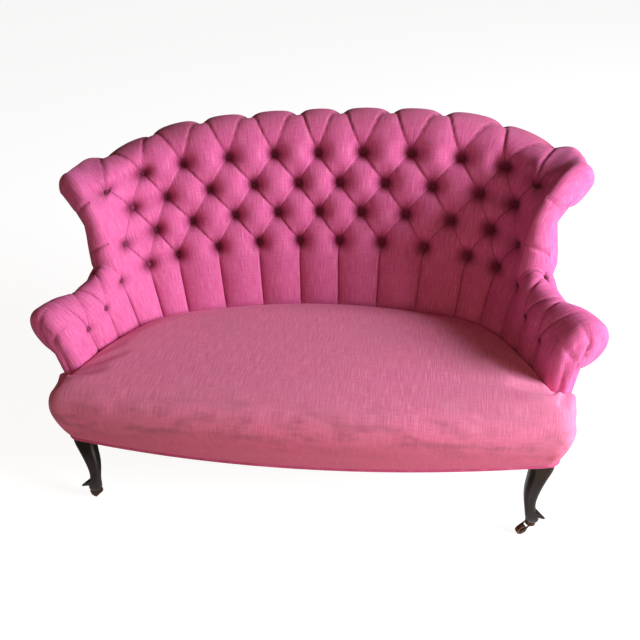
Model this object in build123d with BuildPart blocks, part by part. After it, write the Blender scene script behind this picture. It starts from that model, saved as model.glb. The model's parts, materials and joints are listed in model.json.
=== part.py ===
"""Deep-buttoned settee: scroll back, bow-fronted sprung seat, cabriole front legs on casters. Millimetres.

X runs along the settee, the front faces -Y, Z is up, and the origin is on the floor under the middle.
The back and arms follow one horseshoe line in plan, where the seat meets them. A station is a vertical
plane standing on that line: its first coordinate runs outwards from the seat, its second is the height
above the floor. Stations are counted in half button pitches from the middle of the back, right positive.
"""

import math
import os

from build123d import *

os.makedirs("parts", exist_ok=True)

# Horseshoe line where the seat meets the back and arms
SEAT_BACK_Y = 130.0
BACK_RADIUS = 1400.0
BACK_HALF_WIDTH = 430.0
CORNER_RADIUS = 235.0
ARM_NORMAL_DEG = 68.0
ARM_FRONT = 870.0

# Buttons along that line, as half pitches
BACK_HALF_PITCH = 62.5
CORNER_HALF_PITCH = 41.0
LAST_BACK_BUTTON = 10
WING_STATION = 11
PAD_SPLIT = 11.75
ARM_STATION = 12
LAST_ARM_STATION = 16

# Heights above the floor
BASE_Z = 215.0
RAIL_BOTTOM_Z = 222.0
RAIL_TOP_Z = 298.0
SEAT_EDGE_Z = 386.0
ROW_Z = {4: 566.0, 3: 652.0, 2: 735.0, 1: 819.0}
ROW_DROP = 24.0
ROW_TO_CREST = 20.0
ARM_ROW_Z = 528.0
ARM_ROW_FALL = 11.5

# Shape along the horseshoe: station, angle of its plane, lean of the inside face from upright
# (degrees), crest height of the scroll, offset of the scroll's axis, scroll radius
SHAPE = (
    (0.0, 0.0, 23.5, 924.0, 274.0, 58.0),
    (3.0, 8.0, 24.0, 922.0, 280.0, 58.0),
    (5.0, 14.5, 25.0, 914.0, 294.0, 58.0),
    (7.0, 20.5, 27.0, 886.0, 324.0, 60.0),
    (9.0, 30.0, 26.0, 848.0, 326.0, 60.0),
    (10.0, 36.5, 20.5, 839.0, 332.0, 60.0),
    (10.5, 42.0, 17.0, 836.0, 326.0, 60.0),
    (11.0, 48.0, 13.0, 830.0, 288.0, 58.0),
    (11.25, 51.0, 11.5, 790.0, 234.0, 54.0),
    (11.5, 54.0, 10.0, 710.0, 154.0, 52.0),
    (11.75, 57.0, 8.5, 626.0, 102.0, 51.0),
    (12.0, 60.0, 7.0, 588.0, 84.0, 54.0),
    (12.5, 64.0, 5.0, 580.0, 75.0, 58.0),
    (13.0, 68.0, 3.0, 577.0, 72.0, 60.0),
    (14.5, 68.0, 2.5, 575.0, 76.0, 62.0),
    (16.0, 68.0, 2.0, 577.0, 86.0, 67.0),
)
ROLL_END_DEG = -60.0
ROLL_BACK_DEG = 15.0
ROLL_BACK_FLAT = 1.0

# Upholstery
TUFT_DEPTH = 38.0
ARM_TUFT_DEPTH = 18.0
CHANNEL_DEPTH = 15.0
VALLEY_DEPTH = 22.0
ARM_VALLEY_DEPTH = 9.0
ARC_BULGE = 0.09
CREST_BULGE = 0.16
ARM_FRONT_BULGE = 0.03
BACK_PAD_FOOT = 56.0
ARM_PAD_FOOT = 38.0
ARM_FRONT_ROUND = 28.0
BUTTON_RADIUS = 9.5
BUTTON_EDGE = 2.0
BUTTON_DOME = 4.5
BUTTON_ROOM = 2.5
CLEARANCE = 0.3
SOFT_CLEARANCE = 1.5
CLOTH = 2.5

# Beech frame
TOP_RAIL = 40.0
UPRIGHT_DEPTH = 32.0
UPRIGHT_WIDTH = 34.0
ARM_POST_DEPTH = 24.0
ARM_POST_STATION = 15
WING_POST_STATION = 10
BACK_UPRIGHTS = (-7, -3, 3, 7)
BASE_OUT_BACK = 95.0
BASE_OUT_ARM = 70.0
RAIL_THICKNESS = 40.0
LAST_BACK_RAIL_STATION = 8

# Webbing and hessian
HESSIAN = 1.2
WEB_THICKNESS = 2.0
WEB_WIDTH = 50.0
WEB_GAP = 7.0
BACK_WEB_SHARES = (0.15, 0.4, 0.65, 0.9)
BACK_WEB_HALF_SHARE = 0.08
HESSIAN_TOP_SHARE = 0.99
LONG_WEBS_Y = (-268.0, -198.0, -128.0, -58.0, 12.0)
CROSS_WEBS_X = (0.0, 100.0, 200.0, 300.0, 470.0)
WEB_ON_RAIL = 64.0
DUST_COVER_OUT = 40.0
DUST_COVER = 1.5

# Seat
BOW_MIDDLE_Y = -431.0
BOW_CORNER_X = 666.0
BOW_CORNER_Y = -376.0
SIDE_FRONT_X = 698.0
SIDE_FRONT_Y = -339.0
APRON_THICKNESS = 22.0
SEAT_BULGE = 30.0
SEAT_CORNER_SHARE = 0.4
SEAT_CENTRE_Y = -162.0
SPRING_TOP_Z = 318.0
TRIM_HEIGHT = 10.0
TRIM_THICKNESS = 4.0
# Levels of the seat: height, share of the bulge, scale towards the seat's centre
SEAT_LEVELS = (
    (215.0, 0.0, 1.0),
    (227.0, 0.0, 1.0),
    (262.0, 0.5, 1.0),
    (300.0, 0.88, 1.0),
    (334.0, 1.0, 1.0),
    (364.0, 0.86, 1.0),
    (388.0, 0.42, 0.993),
    (405.0, 0.0, 0.955),
    (418.0, 0.0, 0.86),
    (427.0, 0.0, 0.62),
)

# Seat springs
SPRING_WIRE = 3.6
SPRING_END_RADIUS = 36.0
SPRING_WAIST_RADIUS = 27.0
SPRING_TURNS = 4
SPRINGS_X = (-425.0, -255.0, -85.0, 85.0, 255.0, 425.0)
SPRINGS_Y = (-268.0, -128.0, 12.0)

# Front legs: height, centre across, centre front to back, width, depth
LEG_BLOCK = 50.0
LEG_BLOCK_X = 646.0
LEG_BLOCK_Y = -325.0
LEG_SECTIONS = (
    (214.0, 655.0, -351.0, 62.0, 46.0),
    (190.0, 650.0, -364.0, 54.0, 44.0),
    (155.0, 637.0, -383.0, 42.0, 38.0),
    (122.0, 630.0, -398.0, 33.0, 32.0),
    (96.0, 631.0, -409.0, 29.0, 30.0),
    (76.0, 636.0, -414.0, 33.0, 32.0),
    (50.0, 638.0, -414.0, 27.0, 27.0),
)
LEG_CORNER = 0.3
SPUR_Z = 82.0
SPUR_HEIGHT = 26.0
SPUR_REACH = 36.0
SPUR_WIDTH = 15.0
SPUR_TIP = 0.15
SPUR_DEG = -35.0

# Rear legs
REAR_LEG_STATION = 6
REAR_LEG_OUT = 66.0
REAR_LEG_RAKE = 80.0
REAR_LEG_TOP = 40.0
REAR_LEG_FOOT = 28.0
REAR_LEG_CORNER = 6.0
DOWEL_RADIUS = 6.0
DOWEL_LENGTH = 70.0
GLIDE_RADIUS = 9.0
GLIDE_HEIGHT = 4.0

# Casters
FOOT_X = 638.0
FOOT_Y = -414.0
WHEEL_RADIUS = 15.0
WHEEL_WIDTH = 13.0
WHEEL_ROUND = 2.0
TRAIL = 25.0
TRAIL_DEG = {"right": 203.0, "left": 158.0}
CUP_RADIUS = 14.0
CUP_WALL = 2.0
CUP_BOTTOM_Z = 35.6
CUP_TOP_Z = 50.0
STEM_RADIUS = 4.0
STEM_HEAD_RADIUS = 6.0
STEM_HEAD = 2.5
AXLE_RADIUS = 2.5
FORK_PLATE = 3.0
FORK_CHEEK = 2.5
FORK_LENGTH = 9.0
FORK_GAP = 1.0
SWIVEL_GAP = 0.5
RUNNING = 0.05


def save(part, name):
    """Labels a finished piece and writes it as its own file."""
    part.label = name
    export_step(part, f"parts/{name}.step")


def save_pair(part, name):
    """Writes a right-hand piece and its mirror image on the left."""
    save(part, f"right_{name}")
    with BuildPart() as twin:
        add(mirror(part, about=Plane.YZ, mode=Mode.PRIVATE))
    save(twin.part, f"left_{name}")


def smooth(low, high, value):
    t = min(1.0, max(0.0, (value - low) / (high - low)))
    return t * t * (3 - 2 * t)


def polar(centre, radius, degrees):
    turn = math.radians(degrees)
    return centre[0] + radius * math.cos(turn), centre[1] + radius * math.sin(turn)


def between(start, end, share):
    return start[0] + share * (end[0] - start[0]), start[1] + share * (end[1] - start[1])


# Plan of the horseshoe line

BACK_ANGLE = math.asin(BACK_HALF_WIDTH / BACK_RADIUS)
ARM_ANGLE = math.radians(ARM_NORMAL_DEG)
BACK_LENGTH = BACK_RADIUS * BACK_ANGLE
CORNER_LENGTH = CORNER_RADIUS * (ARM_ANGLE - BACK_ANGLE)
BACK_CENTRE = (0.0, SEAT_BACK_Y - BACK_RADIUS)
CORNER_CENTRE = (
    (BACK_RADIUS - CORNER_RADIUS) * math.sin(BACK_ANGLE),
    BACK_CENTRE[1] + (BACK_RADIUS - CORNER_RADIUS) * math.cos(BACK_ANGLE),
)


def plan(along, out=0.0):
    """Point at a distance along the right half of the horseshoe line and squarely outwards from it."""
    if along <= BACK_LENGTH:
        angle, radius, centre = along / BACK_RADIUS, BACK_RADIUS, BACK_CENTRE
    else:
        angle = min(BACK_ANGLE + (along - BACK_LENGTH) / CORNER_RADIUS, ARM_ANGLE)
        radius, centre = CORNER_RADIUS, CORNER_CENTRE
    run = max(0.0, along - BACK_LENGTH - CORNER_LENGTH)
    x = centre[0] + (radius + out) * math.sin(angle) + run * math.cos(angle)
    y = centre[1] + (radius + out) * math.cos(angle) - run * math.sin(angle)
    return x, y


def along_line(station):
    """Distance of a station along the horseshoe line."""
    back_stations = BACK_LENGTH / BACK_HALF_PITCH
    if abs(station) <= back_stations:
        return abs(station) * BACK_HALF_PITCH
    return BACK_LENGTH + (abs(station) - back_stations) * CORNER_HALF_PITCH


def shape_at(station):
    """Plane angle, face lean, crest height, axis offset and radius of the scroll at a station."""
    here = min(abs(station), SHAPE[-1][0])
    for before, after in zip(SHAPE, SHAPE[1:]):
        if here <= after[0]:
            share = (here - before[0]) / (after[0] - before[0])
            return [a + share * (b - a) for a, b in zip(before[1:], after[1:])]


def upright_plane(along, degrees, side):
    """Vertical plane standing on the horseshoe line, with X outwards and Y up."""
    x, y = plan(along)
    turn = math.radians(degrees)
    out = (side * math.sin(turn), math.cos(turn), 0)
    return Plane(origin=(side * x, y, 0), x_dir=out, z_dir=(out[1], -out[0], 0))


def station_plane(station):
    return upright_plane(along_line(station), shape_at(station)[0], 1 if station >= 0 else -1)


# Section geometry at a station


def roll_at(station):
    """Axis of the scroll and its radius."""
    _, _, crest, out, radius = shape_at(station)
    return (out, crest - radius), radius


def on_face(station, height, depth):
    """Point of the inside face at a height, sunk by a depth."""
    lean = shape_at(station)[1]
    rise = height - SEAT_EDGE_Z
    return polar((rise * math.tan(math.radians(lean)), height), depth, -lean)


def buttoned(station, row):
    """1 where a row has a button at this station, 0 midway between two buttons."""
    phase = math.cos(math.pi * station)
    return (1 - phase) / 2 if row % 2 == 0 else (1 + phase) / 2


def row_height(station, row):
    """Height of a row of buttons, squeezed where the wing comes down to the arm."""
    level = ROW_Z[row] - ROW_DROP * smooth(3, LAST_BACK_BUTTON, abs(station)) - SEAT_EDGE_Z
    room = (shape_at(station)[2] - SEAT_EDGE_Z - ROW_TO_CREST) / (ROW_Z[1] - SEAT_EDGE_Z)
    return SEAT_EDGE_Z + level * min(1.0, room)


def arm_row_height(station):
    return ARM_ROW_Z - ARM_ROW_FALL * (abs(station) - WING_STATION)


def row_depth(station, row):
    """Depth of a row at a station, fading out over the wing."""
    wing = smooth(LAST_BACK_BUTTON, ARM_STATION, abs(station))
    full = TUFT_DEPTH + wing * (ARM_TUFT_DEPTH - TUFT_DEPTH) if row == 4 else TUFT_DEPTH * (1 - wing)
    return full * buttoned(station, row)


def swell(points, bulge=ARC_BULGE):
    """Arcs through the points, each bulging towards the sitter."""
    for start, end in zip(points, points[1:]):
        middle = between(start, end, 0.5)
        ThreePointArc(
            start,
            (middle[0] + bulge * (start[1] - end[1]), middle[1] + bulge * (end[0] - start[0])),
            end,
        )


def roll_knots(station, crest_valley, back_valley):
    """Points round the scroll from its crest to the end of its underside, as radius and angle."""
    _, radius = roll_at(station)
    return (
        (radius - crest_valley, 90.0),
        (radius - back_valley - ROLL_BACK_FLAT, ROLL_BACK_DEG),
        (radius, ROLL_END_DEG),
    )


def roll_arcs(station, knots):
    axis, _ = roll_at(station)
    for (r0, a0), (r1, a1) in zip(knots, knots[1:]):
        middle = polar(axis, (r0 + r1) / 2, (a0 + a1) / 2)
        ThreePointArc(polar(axis, r0, a0), middle, polar(axis, r1, a1))


def roll_end(station):
    axis, radius = roll_at(station)
    return polar(axis, radius, ROLL_END_DEG)


def rail_notch(station):
    """Corners of the room for the rail in the scroll, from its back edge round to its front edge."""
    (out, height), _ = roll_at(station)
    half = TOP_RAIL / 2 + CLEARANCE
    low = height - TOP_RAIL / 2
    return [(out + half, low), (out + half, height + half), (out - half, height + half), (out - half, low)]


def pad_section(station, foot_depth, face_points, knots, pad_foot):
    """Outline of a buttoned pad: inside face, scroll, room for the rail, and the side on the frame."""
    floor = RAIL_TOP_Z + CLEARANCE
    foot = polar((0.0, SEAT_EDGE_Z), foot_depth, -shape_at(station)[1])
    crest = polar(roll_at(station)[0], *knots[0])
    with BuildLine() as outline:
        Line((foot[0], floor), foot)
        swell([foot, *face_points])
        swell([face_points[-1], crest], CREST_BULGE)
        roll_arcs(station, knots)
        Polyline(
            roll_end(station),
            *rail_notch(station),
            (pad_foot, SEAT_EDGE_Z),
            (pad_foot, floor),
            (foot[0], floor),
        )
    make_face(outline.edges())


def back_section(station):
    wing = 1 - smooth(LAST_BACK_BUTTON, ARM_STATION, abs(station))
    valley = wing * VALLEY_DEPTH * buttoned(station, 0)
    face = [on_face(station, row_height(station, row), row_depth(station, row)) for row in (4, 3, 2, 1)]
    knots = roll_knots(station, valley, valley / 2)
    pad_section(station, CHANNEL_DEPTH * buttoned(station, 4), face, knots, BACK_PAD_FOOT)


def arm_valleys(station):
    """Depth of the scroll's valley at the crest and at the back, where it moves outwards along the arm."""
    depth = ARM_VALLEY_DEPTH * buttoned(station, 3)
    share = smooth(ARM_STATION, ARM_STATION + 2, abs(station))
    return depth * (1 - share), depth * share


def arm_section(station):
    face = [on_face(station, arm_row_height(station), ARM_TUFT_DEPTH * buttoned(station, 4))]
    knots = roll_knots(station, *arm_valleys(station))
    pad_section(station, CHANNEL_DEPTH / 2 * buttoned(station, 4), face, knots, ARM_PAD_FOOT)


def pad_back(station, pad_foot, share, gap=0.0):
    """Point on the frame side of a pad, as a share of its rise, set back by a gap."""
    top = rail_notch(station)[3]
    x, z = between((pad_foot, SEAT_EDGE_Z), top, share)
    return x + gap, z


def base_out(station):
    """Offset of the outside cover at the base."""
    return BASE_OUT_BACK + (BASE_OUT_ARM - BASE_OUT_BACK) * smooth(8, ARM_STATION, abs(station))


def outside_line(station, height=None):
    """Outside cover from under the scroll, or from a height, down to the base."""
    end = roll_end(station)
    top = (end[0] - CLEARANCE, end[1] - CLEARANCE)
    foot = (base_out(station), BASE_Z)
    if height is not None:
        top = between(foot, top, (height - BASE_Z) / (top[1] - BASE_Z))
    return [top, foot]


def strip(points, thickness):
    """Thin band along a line of points, thickened towards the seat."""
    with BuildLine() as outline:
        Polyline(*points, *[(x - thickness, z) for x, z in reversed(points)], close=True)
    make_face(outline.edges())


def box_section(low, high):
    """Upright rectangle between two corners."""
    with BuildLine() as outline:
        Polyline(low, (high[0], low[1]), high, (low[0], high[1]), close=True)
    make_face(outline.edges())


def rail_section(station):
    outer = base_out(station) - CLOTH - CLEARANCE
    box_section((outer - RAIL_THICKNESS, RAIL_BOTTOM_Z), (outer, RAIL_TOP_Z))


def scroll_rail_section(station):
    (out, height), _ = roll_at(station)
    half = TOP_RAIL / 2
    box_section((out - half, height - half), (out + half, height + half))


WING_STEPS = [step[0] for step in SHAPE if LAST_BACK_BUTTON < step[0] <= PAD_SPLIT]
BACK_STATIONS = (
    [-step for step in reversed(WING_STEPS)]
    + list(range(-LAST_BACK_BUTTON, LAST_BACK_BUTTON + 1))
    + WING_STEPS
)
ARM_STATIONS = [PAD_SPLIT, ARM_STATION, ARM_STATION + 0.5, *range(ARM_STATION + 1, LAST_ARM_STATION + 1)]


# Places of the buttons, each with Z out of the pad


def button_plane(station, point, degrees):
    plane = station_plane(station)
    away = polar((0, 0), 1, degrees)
    return Plane(
        origin=plane.from_local_coords((*point, 0)),
        z_dir=plane.x_dir * away[0] + plane.y_dir * away[1],
    )


def face_button(station, height, depth):
    return button_plane(station, on_face(station, height, depth), 180 - shape_at(station)[1])


def roll_button(station, knot):
    return button_plane(station, polar(roll_at(station)[0], *knot), knot[1])


BACK_BUTTONS = [
    face_button(station, row_height(station, row), row_depth(station, row))
    for station in range(-WING_STATION, WING_STATION + 1)
    for row in (4, 3, 2, 1)
    if buttoned(station, row) > 0.5 and (row == 4 or abs(station) <= LAST_BACK_BUTTON)
]
ARM_BUTTONS = [
    face_button(station, arm_row_height(station), ARM_TUFT_DEPTH)
    for station in (ARM_STATION + 1, ARM_STATION + 3)
] + [
    roll_button(station, roll_knots(station, *arm_valleys(station))[knot])
    for station, knot in ((ARM_STATION, 0), (ARM_STATION + 2, 1))
]


def button_pockets(places):
    for place in places:
        with Locations(place):
            Cylinder(
                BUTTON_RADIUS + BUTTON_ROOM,
                TUFT_DEPTH,
                align=(Align.CENTER, Align.CENTER, Align.MIN),
                mode=Mode.SUBTRACT,
            )


# Buttoned pads

with BuildPart() as back_pad:
    for s in BACK_STATIONS:
        with BuildSketch(station_plane(s)):
            back_section(s)
    loft(ruled=True)
    button_pockets(BACK_BUTTONS)
save(back_pad.part, "back_pad")

with BuildPart() as arm_pad:
    for s in ARM_STATIONS:
        with BuildSketch(station_plane(s)):
            arm_section(s)
    loft(ruled=True)
    button_pockets(ARM_BUTTONS)
save_pair(arm_pad.part, "arm_pad")


def front_section(inset):
    """Outline of the arm's stuffed front, drawn in all round by an inset."""
    station = LAST_ARM_STATION
    axis, radius = roll_at(station)
    floor = RAIL_TOP_Z + CLEARANCE
    foot = (inset, SEAT_EDGE_Z)
    face = on_face(station, arm_row_height(station), inset)
    knots = [(r - inset, a) for r, a in roll_knots(station, 0, 0)]
    low = outside_line(station, floor)[0]
    with BuildLine() as outline:
        Line((inset, floor), foot)
        swell([foot, face], ARM_FRONT_BULGE)
        swell([face, polar(axis, *knots[0])], CREST_BULGE)
        roll_arcs(station, knots)
        Polyline(polar(axis, *knots[-1]), (low[0] - inset, floor), (inset, floor))
    make_face(outline.edges())


ARM_END = along_line(LAST_ARM_STATION) + CLEARANCE
with BuildPart() as arm_front:
    with BuildSketch(upright_plane(ARM_END, ARM_NORMAL_DEG, 1)):
        front_section(0)
    for degrees in (0, 30, 60, 85):
        run = ARM_FRONT - ARM_FRONT_ROUND * (1 - math.sin(math.radians(degrees)))
        with BuildSketch(upright_plane(run, ARM_NORMAL_DEG, 1)):
            front_section(ARM_FRONT_ROUND * (1 - math.cos(math.radians(degrees))))
    loft(ruled=True)
save_pair(arm_front.part, "arm_front")


# Covered buttons


with BuildPart() as button_form:
    Cylinder(BUTTON_RADIUS, BUTTON_EDGE, align=(Align.CENTER, Align.CENTER, Align.MIN))
    with Locations((0, 0, BUTTON_EDGE)):
        Cone(BUTTON_RADIUS, BUTTON_RADIUS / 2, BUTTON_DOME, align=(Align.CENTER, Align.CENTER, Align.MIN))
    fillet(button_form.edges().filter_by(GeomType.CIRCLE).sort_by(Axis.Z)[1:], BUTTON_EDGE)

with BuildPart() as back_buttons:
    for place in BACK_BUTTONS:
        with Locations(place.offset(CLEARANCE)):
            add(button_form.part)
save(back_buttons.part, "back_buttons")

with BuildPart() as arm_buttons:
    for place in ARM_BUTTONS:
        with Locations(place.offset(CLEARANCE)):
            add(button_form.part)
save_pair(arm_buttons.part, "arm_buttons")


# Beech frame round the seat

with BuildPart() as dowel_holes:
    for side in (-1, 1):
        place = station_plane(side * REAR_LEG_STATION)
        with Locations(place.from_local_coords((REAR_LEG_OUT, RAIL_BOTTOM_Z, 0))):
            Cylinder(DOWEL_RADIUS, DOWEL_LENGTH)

with BuildPart() as seat_back_rail:
    for s in range(-LAST_BACK_RAIL_STATION, LAST_BACK_RAIL_STATION + 1):
        with BuildSketch(station_plane(s)):
            rail_section(s)
    loft(ruled=True)
    add(dowel_holes.part, mode=Mode.SUBTRACT)
save(seat_back_rail.part, "seat_back_rail")

with BuildPart() as dowels:
    add(dowel_holes.part)
save(dowels.part, "rear_leg_dowels")

BLOCK_BACK = Plane(
    origin=(LEG_BLOCK_X, LEG_BLOCK_Y + LEG_BLOCK / 2, 0), x_dir=(1, 0, 0), z_dir=(0, -1, 0)
)
with BuildPart() as side_rail:
    for s in range(LAST_BACK_RAIL_STATION, ARM_POST_STATION + 1):
        with BuildSketch(station_plane(s)):
            rail_section(s)
    with BuildSketch(BLOCK_BACK):
        box_section((-RAIL_THICKNESS / 2, RAIL_BOTTOM_Z), (RAIL_THICKNESS / 2, RAIL_TOP_Z))
    loft(ruled=True)
save_pair(side_rail.part, "seat_side_rail")

BOW_RISE = BOW_CORNER_Y - BOW_MIDDLE_Y
BOW_RADIUS = (BOW_CORNER_X**2 + BOW_RISE**2) / (2 * BOW_RISE)


def bow_y(x, inset):
    """Front-to-back place of the bow at a distance from the middle, set in from the apron's face."""
    return BOW_MIDDLE_Y + BOW_RADIUS - math.sqrt((BOW_RADIUS - inset) ** 2 - x**2)


def bow_arc(half, inset):
    ThreePointArc((-half, bow_y(half, inset)), (0, bow_y(0, inset)), (half, bow_y(half, inset)))


RAIL_FRONT = APRON_THICKNESS + CLEARANCE
RAIL_END_X = LEG_BLOCK_X - LEG_BLOCK / 2
with BuildPart() as seat_front_rail:
    with BuildSketch(Plane.XY.offset(RAIL_BOTTOM_Z)):
        with BuildLine():
            bow_arc(RAIL_END_X, RAIL_FRONT)
            bow_arc(RAIL_END_X, RAIL_FRONT + RAIL_THICKNESS)
            for end in (-RAIL_END_X, RAIL_END_X):
                Line((end, bow_y(end, RAIL_FRONT)), (end, bow_y(end, RAIL_FRONT + RAIL_THICKNESS)))
        make_face()
    extrude(amount=RAIL_TOP_Z - RAIL_BOTTOM_Z)
save(seat_front_rail.part, "seat_front_rail")

# Back and arm frame

with BuildPart() as top_rail:
    for s in BACK_STATIONS:
        with BuildSketch(station_plane(s)):
            scroll_rail_section(s)
    loft(ruled=True)
save(top_rail.part, "top_rail")

with BuildPart() as arm_rail:
    for s in ARM_STATIONS:
        with BuildSketch(station_plane(s)):
            scroll_rail_section(s)
    loft(ruled=True)
save_pair(arm_rail.part, "arm_rail")


def upright_top(station):
    """Height just under the rail in the scroll, at the lower edge of the upright."""
    half = UPRIGHT_WIDTH / 2 / CORNER_HALF_PITCH
    lows = [rail_notch(abs(station) + step * half)[3][1] for step in (-1, 0, 1)]
    return min(lows) - CLEARANCE


def upright(station, pad_foot, depth):
    """Post between the seat rail and the rail in the scroll, behind the webbing."""
    rise = rail_notch(station)[3][1] - SEAT_EDGE_Z
    top_z = upright_top(station)
    knee = (pad_foot + WEB_GAP, SEAT_EDGE_Z)
    top = pad_back(station, pad_foot, (top_z - SEAT_EDGE_Z) / rise, WEB_GAP)
    with BuildSketch(station_plane(station)) as side:
        with BuildLine():
            Polyline(
                (knee[0], RAIL_TOP_Z),
                knee,
                top,
                (top[0] + depth, top[1]),
                (knee[0] + depth, knee[1]),
                (knee[0] + depth, RAIL_TOP_Z),
                close=True,
            )
        make_face()
    extrude(side.sketch, amount=UPRIGHT_WIDTH / 2, both=True)


for number, s in enumerate(BACK_UPRIGHTS, 1):
    with BuildPart() as back_upright:
        upright(s, BACK_PAD_FOOT, UPRIGHT_DEPTH)
    save(back_upright.part, f"back_upright_{number}")

with BuildPart() as wing_post:
    upright(WING_POST_STATION, BACK_PAD_FOOT, UPRIGHT_DEPTH)
save_pair(wing_post.part, "wing_post")

with BuildPart() as arm_post:
    upright(ARM_POST_STATION, ARM_PAD_FOOT, ARM_POST_DEPTH)
save_pair(arm_post.part, "arm_post")

# Hessian and webbing behind the back pad

with BuildPart() as back_hessian:
    for s in BACK_STATIONS:
        with BuildSketch(station_plane(s)):
            gap = CLEARANCE + HESSIAN
            strip([pad_back(s, BACK_PAD_FOOT, share, gap) for share in (0, HESSIAN_TOP_SHARE)], HESSIAN)
    loft(ruled=True)
save(back_hessian.part, "back_hessian")

with BuildPart() as back_webbing:
    for share in BACK_WEB_SHARES:
        for s in BACK_STATIONS:
            rise = rail_notch(s)[3][1] - SEAT_EDGE_Z
            half = min(WEB_WIDTH / 2 / rise, BACK_WEB_HALF_SHARE)
            gap = 2 * CLEARANCE + HESSIAN + WEB_THICKNESS
            edges = [pad_back(s, BACK_PAD_FOOT, edge, gap) for edge in (share - half, share + half)]
            with BuildSketch(station_plane(s)):
                strip(edges, WEB_THICKNESS)
        loft(ruled=True)
save(back_webbing.part, "back_webbing")

# Outside covers and the trim along their feet

with BuildPart() as outside_back:
    for s in BACK_STATIONS:
        with BuildSketch(station_plane(s)):
            strip(outside_line(s), CLOTH)
    loft(ruled=True)
save(outside_back.part, "outside_back")

with BuildPart() as outside_arm:
    for s in ARM_STATIONS:
        with BuildSketch(station_plane(s)):
            strip(outside_line(s), CLOTH)
    loft(ruled=True)
    for run in (along_line(LAST_ARM_STATION), ARM_FRONT):
        with BuildSketch(upright_plane(run, ARM_NORMAL_DEG, 1)):
            strip(outside_line(LAST_ARM_STATION, RAIL_TOP_Z), CLOTH)
    loft(ruled=True)
save_pair(outside_arm.part, "outside_arm")


ARM_FRONT_STATION = LAST_ARM_STATION + (ARM_FRONT - along_line(LAST_ARM_STATION)) / CORNER_HALF_PITCH


def trim_edge(stations, out):
    """Line of the trim in plan, set out from the outside cover where the trim's top meets it."""
    places = []
    for station in stations:
        cover = outside_line(station, BASE_Z + TRIM_HEIGHT)[0][0]
        places.append(station_plane(station).from_local_coords((cover + out, 0, 0)))
    return [(place.X, place.Y) for place in places]


def trim(stations):
    """Band standing against the foot of the outside cover."""
    near = trim_edge(stations, CLEARANCE)
    far = trim_edge(stations, CLEARANCE + TRIM_THICKNESS)
    with BuildSketch(Plane.XY.offset(BASE_Z)) as band:
        with BuildLine():
            Polyline(*near, *reversed(far), close=True)
        make_face()
    extrude(band.sketch, amount=TRIM_HEIGHT)


with BuildPart() as back_trim:
    trim(BACK_STATIONS)
save(back_trim.part, "back_trim")

with BuildPart() as arm_trim:
    trim([*ARM_STATIONS, ARM_FRONT_STATION])
save_pair(arm_trim.part, "arm_trim")


# Seat


def front_line(bulge):
    """Right half of the seat's front edge: the bow's corner, the turn and the start of the side."""
    corner = (BOW_CORNER_X + bulge / 2, BOW_CORNER_Y - bulge)
    side = (SIDE_FRONT_X + bulge, SIDE_FRONT_Y)
    turn = between(between(corner, side, 0.5), (side[0], corner[1]), SEAT_CORNER_SHARE)
    return corner, turn, side


def seat_outline(bulge, scale):
    """Plan of the seat: bow, front corners, returns to the arm fronts, then the horseshoe line."""
    arm_face = ARM_FRONT + SOFT_CLEARANCE
    corner, turn, side = front_line(bulge)
    arm_out = plan(arm_face, BASE_OUT_ARM)
    line = [plan(run, -SOFT_CLEARANCE) for run in (arm_face, BACK_LENGTH + CORNER_LENGTH, BACK_LENGTH)]
    corner_middle = plan(BACK_LENGTH + CORNER_LENGTH / 2, -SOFT_CLEARANCE)

    def at(point, side=1):
        return side * point[0] * scale, SEAT_CENTRE_Y + (point[1] - SEAT_CENTRE_Y) * scale

    with BuildLine() as outline:
        ThreePointArc(at(corner, -1), at((0, BOW_MIDDLE_Y - bulge)), at(corner))
        for hand in (-1, 1):
            ThreePointArc(at(corner, hand), at(turn, hand), at(side, hand))
            Polyline(at(side, hand), at(arm_out, hand), at(line[0], hand), at(line[1], hand))
            ThreePointArc(at(line[1], hand), at(corner_middle, hand), at(line[2], hand))
        ThreePointArc(at(line[2], -1), at(plan(0, -SOFT_CLEARANCE)), at(line[2]))
    make_face(outline.edges())


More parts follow.
